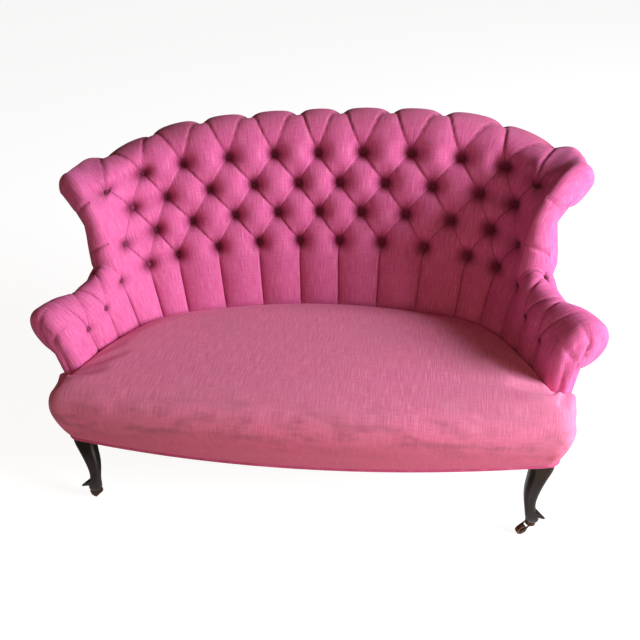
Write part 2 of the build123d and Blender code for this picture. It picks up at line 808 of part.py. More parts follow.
CAVITY_TOP_Z = SPRING_TOP_Z + HESSIAN + CLEARANCE
CAVITY_X = SIDE_FRONT_X - APRON_THICKNESS
CAVITY_CORNER_X = LEG_BLOCK_X + LEG_BLOCK / 2 + SOFT_CLEARANCE
CAVITY_WIDE = SIDE_FRONT_X + 2 * SEAT_BULGE
with BuildPart() as seat_cushion:
    for level, bulge_share, scale in SEAT_LEVELS:
        with BuildSketch(Plane.XY.offset(level)):
            seat_outline(SEAT_BULGE * bulge_share, scale)
    loft(ruled=True)
    with BuildSketch(Plane.XY.offset(BASE_Z)):
        with BuildLine():
            bow_arc(CAVITY_CORNER_X, APRON_THICKNESS)
            arm_corner = plan(ARM_FRONT, BASE_OUT_ARM)
            for hand in (-1, 1):
                Polyline(
                    (hand * CAVITY_CORNER_X, bow_y(CAVITY_CORNER_X, APRON_THICKNESS)),
                    (hand * CAVITY_X, SIDE_FRONT_Y),
                    (hand * CAVITY_X, arm_corner[1]),
                    (hand * CAVITY_WIDE, arm_corner[1]),
                    (hand * CAVITY_WIDE, SEAT_BACK_Y),
                    (0, SEAT_BACK_Y),
                )
        make_face()
    extrude(amount=CAVITY_TOP_Z - BASE_Z, mode=Mode.SUBTRACT)
    arm_room = [
        plan(run, out)
        for run, out in (
            (ARM_FRONT + SOFT_CLEARANCE, -SOFT_CLEARANCE),
            (ARM_FRONT + SOFT_CLEARANCE, 2 * BASE_OUT_ARM),
            (BACK_LENGTH + CORNER_LENGTH, 2 * BASE_OUT_ARM),
            (BACK_LENGTH + CORNER_LENGTH, -SOFT_CLEARANCE),
        )
    ]
    with BuildSketch(Plane.XY.offset(BASE_Z)):
        for hand in (-1, 1):
            with BuildLine():
                Polyline(*[(hand * x, y) for x, y in arm_room], close=True)
            make_face()
    extrude(amount=SEAT_LEVELS[-1][0] - BASE_Z, mode=Mode.SUBTRACT)
save(seat_cushion.part, "seat_cushion")


with BuildPart() as seat_trim:
    inner = front_line(CLEARANCE)
    outer = front_line(CLEARANCE + TRIM_THICKNESS)
    stop = plan(ARM_FRONT + SOFT_CLEARANCE, BASE_OUT_ARM)
    with BuildSketch(Plane.XY.offset(BASE_Z)):
        with BuildLine():
            for edge, bulge in ((inner, CLEARANCE), (outer, CLEARANCE + TRIM_THICKNESS)):
                left = [(-x, y) for x, y in edge]
                ThreePointArc(left[0], (0, BOW_MIDDLE_Y - bulge), edge[0])
                for corner, turn, side in (edge, left):
                    ThreePointArc(corner, turn, side)
                    hand = math.copysign(1, side[0])
                    Line(side, (hand * (stop[0] + bulge), stop[1]))
            for hand in (-1, 1):
                ends = [(hand * (stop[0] + b), stop[1]) for b in (CLEARANCE, CLEARANCE + TRIM_THICKNESS)]
                Line(*ends)
        make_face()
    extrude(amount=TRIM_HEIGHT)
save(seat_trim.part, "seat_trim")

# Webbing, springs and hessian under the seat


def seat_well(front, out):
    """Plan of the well inside the seat frame, set in from the bow and out from the horseshoe line."""
    half = RAIL_END_X - LEG_BLOCK / 2
    runs = (along_line(ARM_POST_STATION), BACK_LENGTH + CORNER_LENGTH, BACK_LENGTH)
    line = [plan(run, out) for run in runs]
    corner = plan(BACK_LENGTH + CORNER_LENGTH / 2, out)
    with BuildLine() as outline:
        bow_arc(half, front)
        for hand in (-1, 1):
            points = [(hand * x, y) for x, y in line]
            Polyline((hand * half, bow_y(half, front)), points[0], points[1])
            ThreePointArc(points[1], (hand * corner[0], corner[1]), points[2])
        ThreePointArc((-line[2][0], line[2][1]), plan(0, out), line[2])
    make_face(outline.edges())


WEB_LENGTH = 2 * SIDE_FRONT_X
CROSS_WEBS = sorted({hand * x for x in CROSS_WEBS_X for hand in (-1, 1)})
with BuildPart() as long_webs:
    with BuildSketch(Plane.XY.offset(RAIL_BOTTOM_Z - WEB_THICKNESS)):
        with Locations(*[(0, y) for y in LONG_WEBS_Y]):
            Rectangle(WEB_LENGTH, WEB_WIDTH)
        with BuildSketch(mode=Mode.PRIVATE) as well:
            seat_well(RAIL_FRONT + RAIL_THICKNESS / 2, WEB_ON_RAIL)
        add(well.sketch, mode=Mode.INTERSECT)
    extrude(amount=WEB_THICKNESS)
save(long_webs.part, "seat_webbing_long")

with BuildPart() as cross_webs:
    with BuildSketch(Plane.XY.offset(RAIL_BOTTOM_Z - 2 * WEB_THICKNESS)):
        with Locations(*[(x, SEAT_CENTRE_Y) for x in CROSS_WEBS]):
            Rectangle(WEB_WIDTH, WEB_LENGTH)
        with BuildSketch(mode=Mode.PRIVATE) as well:
            seat_well(RAIL_FRONT + RAIL_THICKNESS / 2, WEB_ON_RAIL)
        add(well.sketch, mode=Mode.INTERSECT)
    extrude(amount=WEB_THICKNESS)
save(cross_webs.part, "seat_webbing_cross")

with BuildPart() as dust_cover:
    with BuildSketch(Plane.XY.offset(RAIL_BOTTOM_Z - 2 * WEB_THICKNESS - DUST_COVER)):
        seat_well(RAIL_FRONT + RAIL_THICKNESS / 4, DUST_COVER_OUT)
    extrude(amount=DUST_COVER)
save(dust_cover.part, "dust_cover")

with BuildPart() as seat_hessian:
    with BuildSketch(Plane.XY.offset(SPRING_TOP_Z)):
        seat_well(RAIL_FRONT, -SOFT_CLEARANCE)
    extrude(amount=HESSIAN)
save(seat_hessian.part, "seat_hessian")

SPRING_LOW = RAIL_BOTTOM_Z + SPRING_WIRE / 2
SPRING_RISE = SPRING_TOP_Z - SPRING_WIRE - RAIL_BOTTOM_Z


def on_spring(turns):
    """Point on the middle of the wire of a waisted spring after a number of turns."""
    share = turns / SPRING_TURNS
    waist = math.sin(math.pi * share)
    radius = SPRING_END_RADIUS + (SPRING_WAIST_RADIUS - SPRING_END_RADIUS) * waist
    x, y = polar((0, 0), radius, 360 * turns)
    return x, y, SPRING_LOW + SPRING_RISE * share


with BuildPart() as spring:
    with BuildLine() as coil:
        for quarter in range(4 * SPRING_TURNS):
            ThreePointArc(*[on_spring((quarter + step) / 4) for step in (0, 0.5, 1)])
    with BuildSketch(Plane(origin=coil.line @ 0, z_dir=coil.line % 0)):
        Circle(SPRING_WIRE / 2)
    sweep(path=coil.line)

with BuildPart() as seat_springs:
    with Locations(*[(x, y, 0) for x in SPRINGS_X for y in SPRINGS_Y]):
        add(spring.part)
save(seat_springs.part, "seat_springs")

# Legs

LEG_TOP_Z = LEG_SECTIONS[0][0]
PEG_RADIUS = CUP_RADIUS - CUP_WALL
CUP_FLOOR_Z = CUP_BOTTOM_Z + CUP_WALL
with BuildPart() as front_leg:
    for level, x, y, width, depth in LEG_SECTIONS:
        with BuildSketch(Plane(origin=(x, y, level))):
            RectangleRounded(width, depth, LEG_CORNER * min(width, depth))
    loft()
    with Locations((LEG_BLOCK_X, LEG_BLOCK_Y, LEG_TOP_Z)):
        Box(LEG_BLOCK, LEG_BLOCK, RAIL_TOP_Z - LEG_TOP_Z, align=(Align.CENTER, Align.CENTER, Align.MIN))
    with Locations((FOOT_X, FOOT_Y, CUP_FLOOR_Z)):
        Cylinder(PEG_RADIUS, CUP_TOP_Z - CUP_FLOOR_Z, align=(Align.CENTER, Align.CENTER, Align.MIN))
    turn = math.radians(SPUR_DEG)
    for run, size in ((0, 1), (SPUR_REACH, SPUR_TIP)):
        origin = (*polar((FOOT_X, FOOT_Y), run, SPUR_DEG), SPUR_Z)
        across = (-math.sin(turn), math.cos(turn), 0)
        with BuildSketch(Plane(origin=origin, x_dir=across, z_dir=(math.cos(turn), math.sin(turn), 0))):
            Rectangle(SPUR_WIDTH * size, SPUR_HEIGHT * size)
    loft(ruled=True)
save_pair(front_leg.part, "front_leg")

REAR_PLANE = station_plane(REAR_LEG_STATION)


def rear_leg_at(level):
    """Horizontal plane on the axis of the raked rear leg."""
    share = 1 - (level - GLIDE_HEIGHT) / (RAIL_BOTTOM_Z - GLIDE_HEIGHT)
    rake = REAR_LEG_RAKE * (share + share**2) / 2
    return Plane(
        origin=REAR_PLANE.from_local_coords((REAR_LEG_OUT + rake, level, 0)), x_dir=REAR_PLANE.x_dir
    )


with BuildPart() as rear_leg:
    for share in (0, 0.5, 1):
        level = RAIL_BOTTOM_Z + (GLIDE_HEIGHT - RAIL_BOTTOM_Z) * share
        size = REAR_LEG_TOP + (REAR_LEG_FOOT - REAR_LEG_TOP) * share
        with BuildSketch(rear_leg_at(level)):
            RectangleRounded(size, size, REAR_LEG_CORNER)
    loft()
    add(dowel_holes.part, mode=Mode.SUBTRACT)
save_pair(rear_leg.part, "rear_leg")

with BuildPart() as glide:
    with BuildSketch(rear_leg_at(GLIDE_HEIGHT)):
        Circle(GLIDE_RADIUS)
    extrude(amount=-GLIDE_HEIGHT)
    chamfer(glide.edges().group_by(Axis.Z)[0], GLIDE_HEIGHT / 4)
save_pair(glide.part, "rear_glide")

# Casters

FORK_TOP_Z = CUP_BOTTOM_Z - SWIVEL_GAP
FORK_LOW_Z = FORK_TOP_Z - FORK_PLATE
CHEEK_IN = WHEEL_WIDTH / 2 + FORK_GAP
CHEEK_OUT = CHEEK_IN + FORK_CHEEK
AXLE_EYE = 2 * AXLE_RADIUS
UP = (Align.CENTER, Align.CENTER, Align.MIN)
DOWN = (Align.CENTER, Align.CENTER, Align.MAX)

for hand, across in (("right", 1), ("left", -1)):
    trail = math.radians(TRAIL_DEG[hand])
    ahead = (math.cos(trail), math.sin(trail), 0)
    axle_dir = (math.sin(trail), -math.cos(trail), 0)
    stem = (across * FOOT_X, FOOT_Y, 0)
    side_plane = Plane(origin=stem, x_dir=ahead, z_dir=axle_dir)
    wheel_plane = Plane(origin=side_plane.from_local_coords((TRAIL, WHEEL_RADIUS, 0)), z_dir=axle_dir)

    with BuildPart() as caster_cup:
        with Locations((*stem[:2], CUP_BOTTOM_Z)):
            Cylinder(CUP_RADIUS, CUP_TOP_Z - CUP_BOTTOM_Z, align=UP)
        with Locations((*stem[:2], CUP_FLOOR_Z)):
            Cylinder(PEG_RADIUS, CUP_TOP_Z - CUP_FLOOR_Z, align=UP, mode=Mode.SUBTRACT)
        with Locations((*stem[:2], CUP_BOTTOM_Z)):
            Cylinder(STEM_RADIUS, FORK_PLATE + 2 * SWIVEL_GAP, align=DOWN)
        with Locations((*stem[:2], FORK_LOW_Z - SWIVEL_GAP)):
            Cylinder(STEM_HEAD_RADIUS, STEM_HEAD, align=DOWN)
    save(caster_cup.part, f"{hand}_caster_cup")

    with BuildPart() as caster_fork:
        with BuildSketch(side_plane.offset(-CHEEK_OUT)):
            with BuildLine():
                Polyline(
                    (-FORK_LENGTH, FORK_LOW_Z),
                    (-FORK_LENGTH, FORK_TOP_Z),
                    (FORK_LENGTH, FORK_TOP_Z),
                    (TRAIL + AXLE_EYE, WHEEL_RADIUS + AXLE_EYE),
                    (TRAIL + AXLE_EYE, WHEEL_RADIUS - AXLE_EYE),
                    (TRAIL - AXLE_EYE, WHEEL_RADIUS - AXLE_EYE),
                    (FORK_LENGTH, FORK_LOW_Z),
                    close=True,
                )
            make_face()
        extrude(amount=2 * CHEEK_OUT)
        with BuildSketch(side_plane.offset(-CHEEK_IN)):
            with Locations((FORK_LENGTH + TRAIL, 0)):
                Rectangle(2 * TRAIL, 2 * CUP_BOTTOM_Z)
        extrude(amount=2 * CHEEK_IN, mode=Mode.SUBTRACT)
        with Locations((*stem[:2], FORK_LOW_Z)):
            Cylinder(STEM_RADIUS + RUNNING, FORK_PLATE, align=UP, mode=Mode.SUBTRACT)
        with Locations(wheel_plane):
            Cylinder(AXLE_RADIUS, 2 * CHEEK_OUT, mode=Mode.SUBTRACT)
    save(caster_fork.part, f"{hand}_caster_fork")

    with BuildPart() as caster_axle:
        with Locations(wheel_plane):
            Cylinder(AXLE_RADIUS, 2 * CHEEK_OUT)
    save(caster_axle.part, f"{hand}_caster_axle")

    with BuildPart() as caster_wheel:
        with Locations(wheel_plane):
            Cylinder(WHEEL_RADIUS, WHEEL_WIDTH)
        fillet(caster_wheel.edges(), WHEEL_ROUND)
        with Locations(wheel_plane):
            Cylinder(AXLE_RADIUS + RUNNING, WHEEL_WIDTH, mode=Mode.SUBTRACT)
    save(caster_wheel.part, f"{hand}_caster_wheel")
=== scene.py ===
"""Deep-buttoned settee dressed for its picture: cover cloth, buttons, piping, legs and finishes. Metres.

The back and arms follow one horseshoe line in plan, where the seat meets them. A station is an upright
plane on that line, counted in half button pitches from the middle of the back. A row is a line of buttons:
row 1 is the lowest, row 5 the crest of the scroll, row 7 the end of its underside.
"""

import json
import math

import bpy
import numpy as np
from mathutils import Matrix, Vector


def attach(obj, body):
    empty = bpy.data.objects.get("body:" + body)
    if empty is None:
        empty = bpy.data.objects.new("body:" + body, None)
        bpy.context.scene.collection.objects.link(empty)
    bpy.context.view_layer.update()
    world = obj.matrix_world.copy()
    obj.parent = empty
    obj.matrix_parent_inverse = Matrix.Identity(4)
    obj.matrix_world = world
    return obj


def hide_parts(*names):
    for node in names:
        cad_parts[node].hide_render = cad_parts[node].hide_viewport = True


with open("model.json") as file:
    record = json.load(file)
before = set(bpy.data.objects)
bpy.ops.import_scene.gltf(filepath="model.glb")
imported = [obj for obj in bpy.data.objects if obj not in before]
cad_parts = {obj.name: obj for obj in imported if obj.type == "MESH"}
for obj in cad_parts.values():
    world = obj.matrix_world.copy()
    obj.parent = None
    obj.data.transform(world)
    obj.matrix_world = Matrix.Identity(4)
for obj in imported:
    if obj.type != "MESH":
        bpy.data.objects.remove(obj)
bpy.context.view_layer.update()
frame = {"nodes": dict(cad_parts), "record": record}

SIDES = ((1, "right"), (-1, "left"))

# Horseshoe line where the seat meets the back and arms
SEAT_BACK_Y = 0.130
BACK_RADIUS = 1.400
BACK_HALF_WIDTH = 0.430
CORNER_RADIUS = 0.235
ARM_NORMAL = math.radians(68)
ARM_FRONT = 0.870
BACK_HALF_PITCH = 0.0625
CORNER_HALF_PITCH = 0.041
WING_STATION = 11
LAST_STATION = 16

# Heights
BASE_Z = 0.215
RAIL_TOP_Z = 0.2983
SEAT_EDGE_Z = 0.386
BACK_ROWS_Z = (0.566, 0.652, 0.735, 0.819)
ROW_DROP = 0.024
ARM_ROWS_Z = ((11, 0.5392), (13, 0.505), (15, 0.482), (16, 0.4705))
WING_SHOULDER_Z = 0.70

# Station, plane angle, face lean (degrees), crest height, offset of the scroll's axis, scroll radius
BACK_SHAPE = (
    (0.0, 0.0, 23.5, 0.924, 0.274, 0.058),
    (3.0, 8.0, 24.0, 0.922, 0.280, 0.058),
    (5.0, 14.5, 25.0, 0.914, 0.294, 0.058),
    (7.0, 20.5, 27.0, 0.886, 0.324, 0.060),
    (9.0, 30.0, 26.0, 0.848, 0.326, 0.060),
    (10.0, 36.5, 20.5, 0.839, 0.332, 0.060),
    (10.5, 42.0, 17.0, 0.838, 0.294, 0.060),
    (11.0, 48.0, 13.0, 0.844, 0.240, 0.055),
)
ARM_SHAPE = (
    (11.0, 48.0, 13.0, 0.618, 0.104, 0.052),
    (11.5, 54.0, 10.0, 0.611, 0.095, 0.053),
    (12.0, 60.0, 7.0, 0.598, 0.086, 0.055),
    (12.5, 64.0, 5.0, 0.584, 0.076, 0.058),
    (13.0, 68.0, 3.0, 0.577, 0.072, 0.060),
    (14.5, 68.0, 2.5, 0.575, 0.079, 0.062),
    (16.0, 68.0, 2.0, 0.577, 0.094, 0.068),
)
ROLL_END = -60
EAR_END = -125
ARM_ROLL_END = -86
ROLL_BACK = math.radians(15)
ARM_ROLL_FRONT = math.radians(66)
ARM_ROLL_BACK = math.radians(42)
SHOULDER_EASE = 0.35
# Outer edge of the wing below its scroll: height, offset
WING_STEM = ((0.592, 0.190), (0.660, 0.177), (0.715, 0.166), (0.748, 0.169))

# Stations over which one form passes into the next
PITCH_SPAN = (6.5, 8)
ROW_DROP_SPAN = (3, 10)
CORNER_SPAN = (8, WING_STATION)
BASE_SPAN = (8, 12)
# The crest's painted shade fades out over these stations
CREST_SHADE_SPAN = (8.5, 10.5)
SHOULDER_SPAN = (9.5, WING_STATION)
VALLEY_SPAN = (9.6, 10.6)
EAR_SPAN = (9.8, WING_STATION)
STEM_SPAN = (10.0, 10.9)
WING_FOLD_SPAN = (10.05, 10.5)
WING_CLOSING = (10.3, 10.9)
ARM_TUFT_SPAN = (WING_STATION, 12.5)
ARM_FOLD_SPAN = (11.2, 11.8)
ARM_BUTTON_SPAN = (12, 14)
ARM_ROLL_SPAN = (12.5, 15.5)
ARM_LAST_FOLDS = (15.2, 15.9)
ARM_LAST_TUFTS = (15.2, 16)
ARM_CLOSING = (15.7, 16)
# Rows over which the folds, and the painted shade of the crest, begin or end
CREST_FOLD_ROWS = (4.9, 5.3)
CREST_SHADE_ROWS = (4.3, 5.0)
ARM_FOLD_ROWS = (2, 2.6)

# Upholstery
TUFT_DEPTH = 0.045
CORNER_TUFT_DEPTH = 0.024
ARM_TUFT_DEPTH = 0.018
ARM_ROLL_TUFT_DEPTH = 0.0144
CHANNEL_DEPTH = 0.016
CORNER_CHANNEL_DEPTH = 0.012
CHANNEL_LIP = 0.7
CHANNEL_START = 0.45
VALLEY_DEPTH = 0.022
VALLEY_SHARES = (1, 0.55, 0.1)
FOLD_DEPTH = 0.0015
FOLD_SPACING = 1.6
CROWN = 0.003
DIMPLE_RADIUS = 0.014
ARM_DIMPLE_RADIUS = 0.012
DIMPLE_FLOOR = 0.006
DIMPLE_SHARE = 0.7
# Depth of a hollow at which its painted shade is full
DARK_HOLLOW = 0.03
PILLOW_SHARE = 0.28
PILLOW_RADIUS = 0.036
VALLEY_RADIUS = 0.016
CREST_SPREAD = 0.78
LIP = 0.0028
LIP_WIDTH = 0.0055
GROOVE = 0.0022
GROOVE_WIDTH = 0.0026
ARM_ROUND = 0.032
ARM_BULGE = 0.008
WING_NOSE = 0.72
BACK_PAD_FOOT = 0.056
ARM_PAD_FOOT = 0.038
BASE_OUT_BACK = 0.095
BASE_OUT_ARM = 0.070
TOP_RAIL_HALF = 0.0203
# Furthest station with a button on rows 1 to 4
BACK_LAST_BUTTONS = (11, 10, 9, 10)
ARM_LAST_BUTTONS = (15, 14, 0, 0)

# Highest row of the face, crest, and end of the scroll's underside
TOP_ROW, CREST_ROW, LAST_ROW = 4, 5, 7
ROWS = np.arange(LAST_ROW + 1)

# Steps of a section's line and of the cover's grid
FACE_SAMPLES = 40
ROLL_SAMPLES = 60
TO_CREST = 2 * FACE_SAMPLES - 1
STEPS = 20
CHANNEL_STEPS = 26
ROLL_STEPS = 18
WALL_STEPS = 14
RETURN_STEPS = 6


def smooth(low, high, value):
    t = np.clip((np.asarray(value, float) - low) / (high - low), 0, 1)
    return t * t * (3 - 2 * t)


def mix(a, b, share):
    return a + (b - a) * share


def unit(vectors):
    return vectors / np.linalg.norm(vectors, axis=1)[:, None]


def run_along(points):
    """Distance of each point along its line."""
    return np.concatenate(([0], np.cumsum(np.linalg.norm(np.diff(points, axis=0), axis=1))))


def even(points, count):
    """Points spread evenly along a line."""
    points = np.array(points)
    run = run_along(points)
    share = np.linspace(0, run[-1], count)
    return np.column_stack([np.interp(share, run, points[:, i]) for i in range(points.shape[1])])


def mirrored(right):
    """Both halves in one, from the right half, which starts in the middle."""
    left = np.array(right)
    left[..., 0] *= -1
    return np.concatenate((left[:0:-1], right))


def eased(xs, ys):
    """Curve through the points that never swings past them."""
    xs, ys = np.array(xs, float), np.array(ys, float)
    steps = np.diff(xs)
    rises = np.diff(ys) / steps
    slopes = np.zeros(len(xs))
    for i in range(1, len(xs) - 1):
        if rises[i - 1] * rises[i] > 0:
            slopes[i] = 2 * rises[i - 1] * rises[i] / (rises[i - 1] + rises[i])

    def at(x):
        x = min(max(x, xs[0]), xs[-1])
        i = min(int(np.searchsorted(xs, x, "right")) - 1, len(steps) - 1)
        t = (x - xs[i]) / steps[i]
        lift = (1 - t) * slopes[i] - t * slopes[i + 1] + (2 * t - 1) * rises[i]
        return mix(ys[i], ys[i + 1], t) + steps[i] * t * (1 - t) * lift

    return at


def shape_curves(rows):
    """Plane angle, face lean, crest, axis offset and scroll radius as curves over the stations."""
    stations, *columns = zip(*rows)
    return [eased(stations, column) for column in columns]


BACK_CURVES = shape_curves(BACK_SHAPE)
ARM_CURVES = shape_curves(ARM_SHAPE)
ARM_ROW = eased(*zip(*ARM_ROWS_Z))
# How much further out the valleys of the crest lie than the folds below them, in stations
VALLEY_SHIFT = eased((0, 5, 7, 9, 10, 11), (0, 0, 0.2, 0.45, 0.3, 0))

# Plan of the horseshoe line
BACK_ANGLE = math.asin(BACK_HALF_WIDTH / BACK_RADIUS)
BACK_LENGTH = BACK_RADIUS * BACK_ANGLE
CORNER_LENGTH = CORNER_RADIUS * (ARM_NORMAL - BACK_ANGLE)
BACK_CENTRE_Y = SEAT_BACK_Y - BACK_RADIUS
CORNER_X = (BACK_RADIUS - CORNER_RADIUS) * math.sin(BACK_ANGLE)
CORNER_Y = BACK_CENTRE_Y + (BACK_RADIUS - CORNER_RADIUS) * math.cos(BACK_ANGLE)


def plan(along, out=0.0):
    """Point of the right half of the horseshoe line, and squarely outwards from it."""
    if along <= BACK_LENGTH:
        angle, radius, x, y = along / BACK_RADIUS, BACK_RADIUS, 0.0, BACK_CENTRE_Y
    else:
        angle = min(BACK_ANGLE + (along - BACK_LENGTH) / CORNER_RADIUS, ARM_NORMAL)
        radius, x, y = CORNER_RADIUS, CORNER_X, CORNER_Y
    run = max(0.0, along - BACK_LENGTH - CORNER_LENGTH)
    x += (radius + out) * math.sin(angle) + run * math.cos(angle)
    y += (radius + out) * math.cos(angle) - run * math.sin(angle)
    return np.array((x, y))


def along_line(station):
    back_stations = BACK_LENGTH / BACK_HALF_PITCH
    if station <= back_stations:
        return station * BACK_HALF_PITCH
    return BACK_LENGTH + (station - back_stations) * CORNER_HALF_PITCH


# From the last station ahead to the arm's front, and to where its rounding starts
TO_FRONT = ARM_FRONT - along_line(LAST_STATION)
TO_ROUND = TO_FRONT - ARM_ROUND - ARM_BULGE


class Section:
    """Upright cut through the back or an arm at a station: its plain line, without buttons."""

    def __init__(self, station, arm):
        self.station, self.arm = station, arm
        self.foot = plan(along_line(station))
        angle, lean, crest, offset, self.radius = (
            curve(station) for curve in (ARM_CURVES if arm else BACK_CURVES)
        )
        turn = math.radians(angle)
        self.out = np.array((math.sin(turn), math.cos(turn)))
        self.ahead = np.array((math.cos(turn), -math.sin(turn)))
        self.lean = math.radians(lean)
        self.axis = np.array((offset, crest - self.radius))
        end, span = (ARM_ROLL_END, ARM_ROLL_SPAN) if arm else (EAR_END, EAR_SPAN)
        self.roll_end = math.radians(mix(ROLL_END, end, smooth(*span, station)))
        self.trace()

    def row_height(self, row):
        """Height of a row of buttons on the face."""
        if self.arm:
            return ARM_ROW(self.station)
        return BACK_ROWS_Z[row - 1] - ROW_DROP * smooth(*ROW_DROP_SPAN, self.station)

    def trace(self):
        """Samples the line: straight face, shoulder, then the scroll round to its underside."""
        shoulder_z = self.row_height(1 if self.arm else TOP_ROW)
        if not self.arm:
            shoulder_z = mix(shoulder_z, WING_SHOULDER_Z, smooth(*SHOULDER_SPAN, self.station))
        foot = np.array((0, SEAT_EDGE_Z))
        up = np.array((math.sin(self.lean), math.cos(self.lean)))
        face_end = foot + up * (shoulder_z - SEAT_EDGE_Z) / up[1]
        crest = self.axis + (0, self.radius)
        reach = 0.5 * np.abs(crest - face_end)
        handle = face_end + up * max(reach[1], SHOULDER_EASE * reach[0])
        handle_top = crest - (max(reach[0], SHOULDER_EASE * reach[1]), 0)
        t = np.linspace(0, 1, FACE_SAMPLES)[:, None]
        face = foot + t * (face_end - foot)
        shoulder = (
            (1 - t) ** 3 * face_end
            + 3 * (1 - t) ** 2 * t * handle
            + 3 * (1 - t) * t**2 * handle_top
            + t**3 * crest
        )
        turn = np.linspace(math.pi / 2, self.roll_end, ROLL_SAMPLES)[:, None]
        roll = self.axis + self.radius * np.hstack((np.cos(turn), np.sin(turn)))
        self.line = np.vstack((face, shoulder[1:], roll[1:]))
        self.run = run_along(self.line)
        slopes = unit(np.gradient(self.line, self.run, axis=0))
        self.normal = np.column_stack((-slopes[:, 1], slopes[:, 0]))
        self.crest_run = self.run[TO_CREST - 1]

    def on_roll(self, angle):
        return self.crest_run + self.radius * (math.pi / 2 - angle)

    def at_height(self, height):
        """Run along the line up to a height below the crest."""
        return np.interp(height, self.line[:TO_CREST, 1], self.run[:TO_CREST])

    def row_runs(self):
        """Distances along the line of rows 0 (the seat) to 7."""
        end = self.run[-1]
        if self.arm:
            turn = mix(ARM_ROLL_FRONT, ARM_ROLL_BACK, smooth(*ARM_BUTTON_SPAN, self.station))
            first = self.at_height(self.row_height(1))
            return np.array((0, first, *np.linspace(self.on_roll(turn), end, 6)))
        face = [self.at_height(self.row_height(row)) for row in (1, 2, 3, 4)]
        return np.array((0, *face, self.crest_run, self.on_roll(ROLL_BACK), end))

    def at(self, run):
        """Points of the line, and the ways that its surface faces there."""
        point, normal = (
            np.column_stack([np.interp(run, self.run, values[:, i]) for i in (0, 1)])
            for values in (self.line, self.normal)
        )
        return point, unit(normal)

    def outside(self, height):
        """Offset of the outside cover at a height."""
        end = self.line[-1]
        base = mix(BASE_OUT_BACK, BASE_OUT_ARM, smooth(*BASE_SPAN, self.station))
        straight = mix(base, end[0], (height - BASE_Z) / (end[1] - BASE_Z))
        if self.arm:
            return straight
        heights, offsets = zip(*WING_STEM)
        stem = np.interp(height, (BASE_Z, *heights), (base, *offsets))
        return mix(straight, stem, smooth(*STEM_SPAN, self.station))

    def place(self, flat, ahead=0.0):
        """Points of the cut, as offset and height, in the room."""
        flat = np.atleast_2d(flat)
        return np.column_stack((self.foot + flat[:, :1] * self.out + ahead * self.ahead, flat[:, 1]))

    def turn(self, flat):
        """Directions of the cut in the room."""
        return np.column_stack((flat[:, :1] * self.out, flat[:, 1]))


def tuft_depths(station, arm):
    """Depth of the buttons on rows 0 to 7 at a station."""
    corner = smooth(*CORNER_SPAN, station)
    first = mix(TUFT_DEPTH, CORNER_TUFT_DEPTH, corner)
    channel = mix(CHANNEL_DEPTH, CORNER_CHANNEL_DEPTH, corner)
    if arm:
        end = 1 - smooth(*ARM_LAST_TUFTS, station)
        first = mix(first, ARM_TUFT_DEPTH, smooth(*ARM_TUFT_SPAN, station))
        return end * np.array((channel, first, ARM_ROLL_TUFT_DEPTH, 0, 0, 0, 0, 0))
    valley = VALLEY_DEPTH * (1 - smooth(*VALLEY_SPAN, station))
    return np.array((channel, first, first, first, first, *(share * valley for share in VALLEY_SHARES)))


def off_fold(value):
    """Signed distance from the nearest fold, in pitches."""
    return value - np.round(value)


def hollows(station, rows, run, row_runs, depths, half_pitch, arm):
    """Round hollows that the buttons near a station pull, and the valleys of the crest."""
    pulled = np.zeros(len(rows))
    radius = ARM_DIMPLE_RADIUS if arm else DIMPLE_RADIUS
    for row, last in enumerate(ARM_LAST_BUTTONS if arm else BACK_LAST_BUTTONS, 1):
        for node in range(math.floor(station) - 3, math.ceil(station) + 4):
            if (node + row) % 2 or abs(node) > last:
                continue
            reach = np.hypot((station - node) * half_pitch, run - row_runs[row])
            core = np.exp((DIMPLE_FLOOR - np.maximum(reach, DIMPLE_FLOOR)) / radius)
            pillow = np.exp(-((reach / PILLOW_RADIUS) ** 2))
            pulled += depths[row] * (DIMPLE_SHARE * core + PILLOW_SHARE * pillow)
    if not arm:
        across = 2 * half_pitch * abs(off_fold((station - 1) / 2))
        before = np.maximum(0, row_runs[CREST_ROW] - run)
        valley = np.interp(rows, ROWS, np.where(ROWS < CREST_ROW, depths[CREST_ROW], depths))
        pulled += valley * np.exp(-((np.hypot(across, before) / VALLEY_RADIUS) ** 1.3))
    return pulled


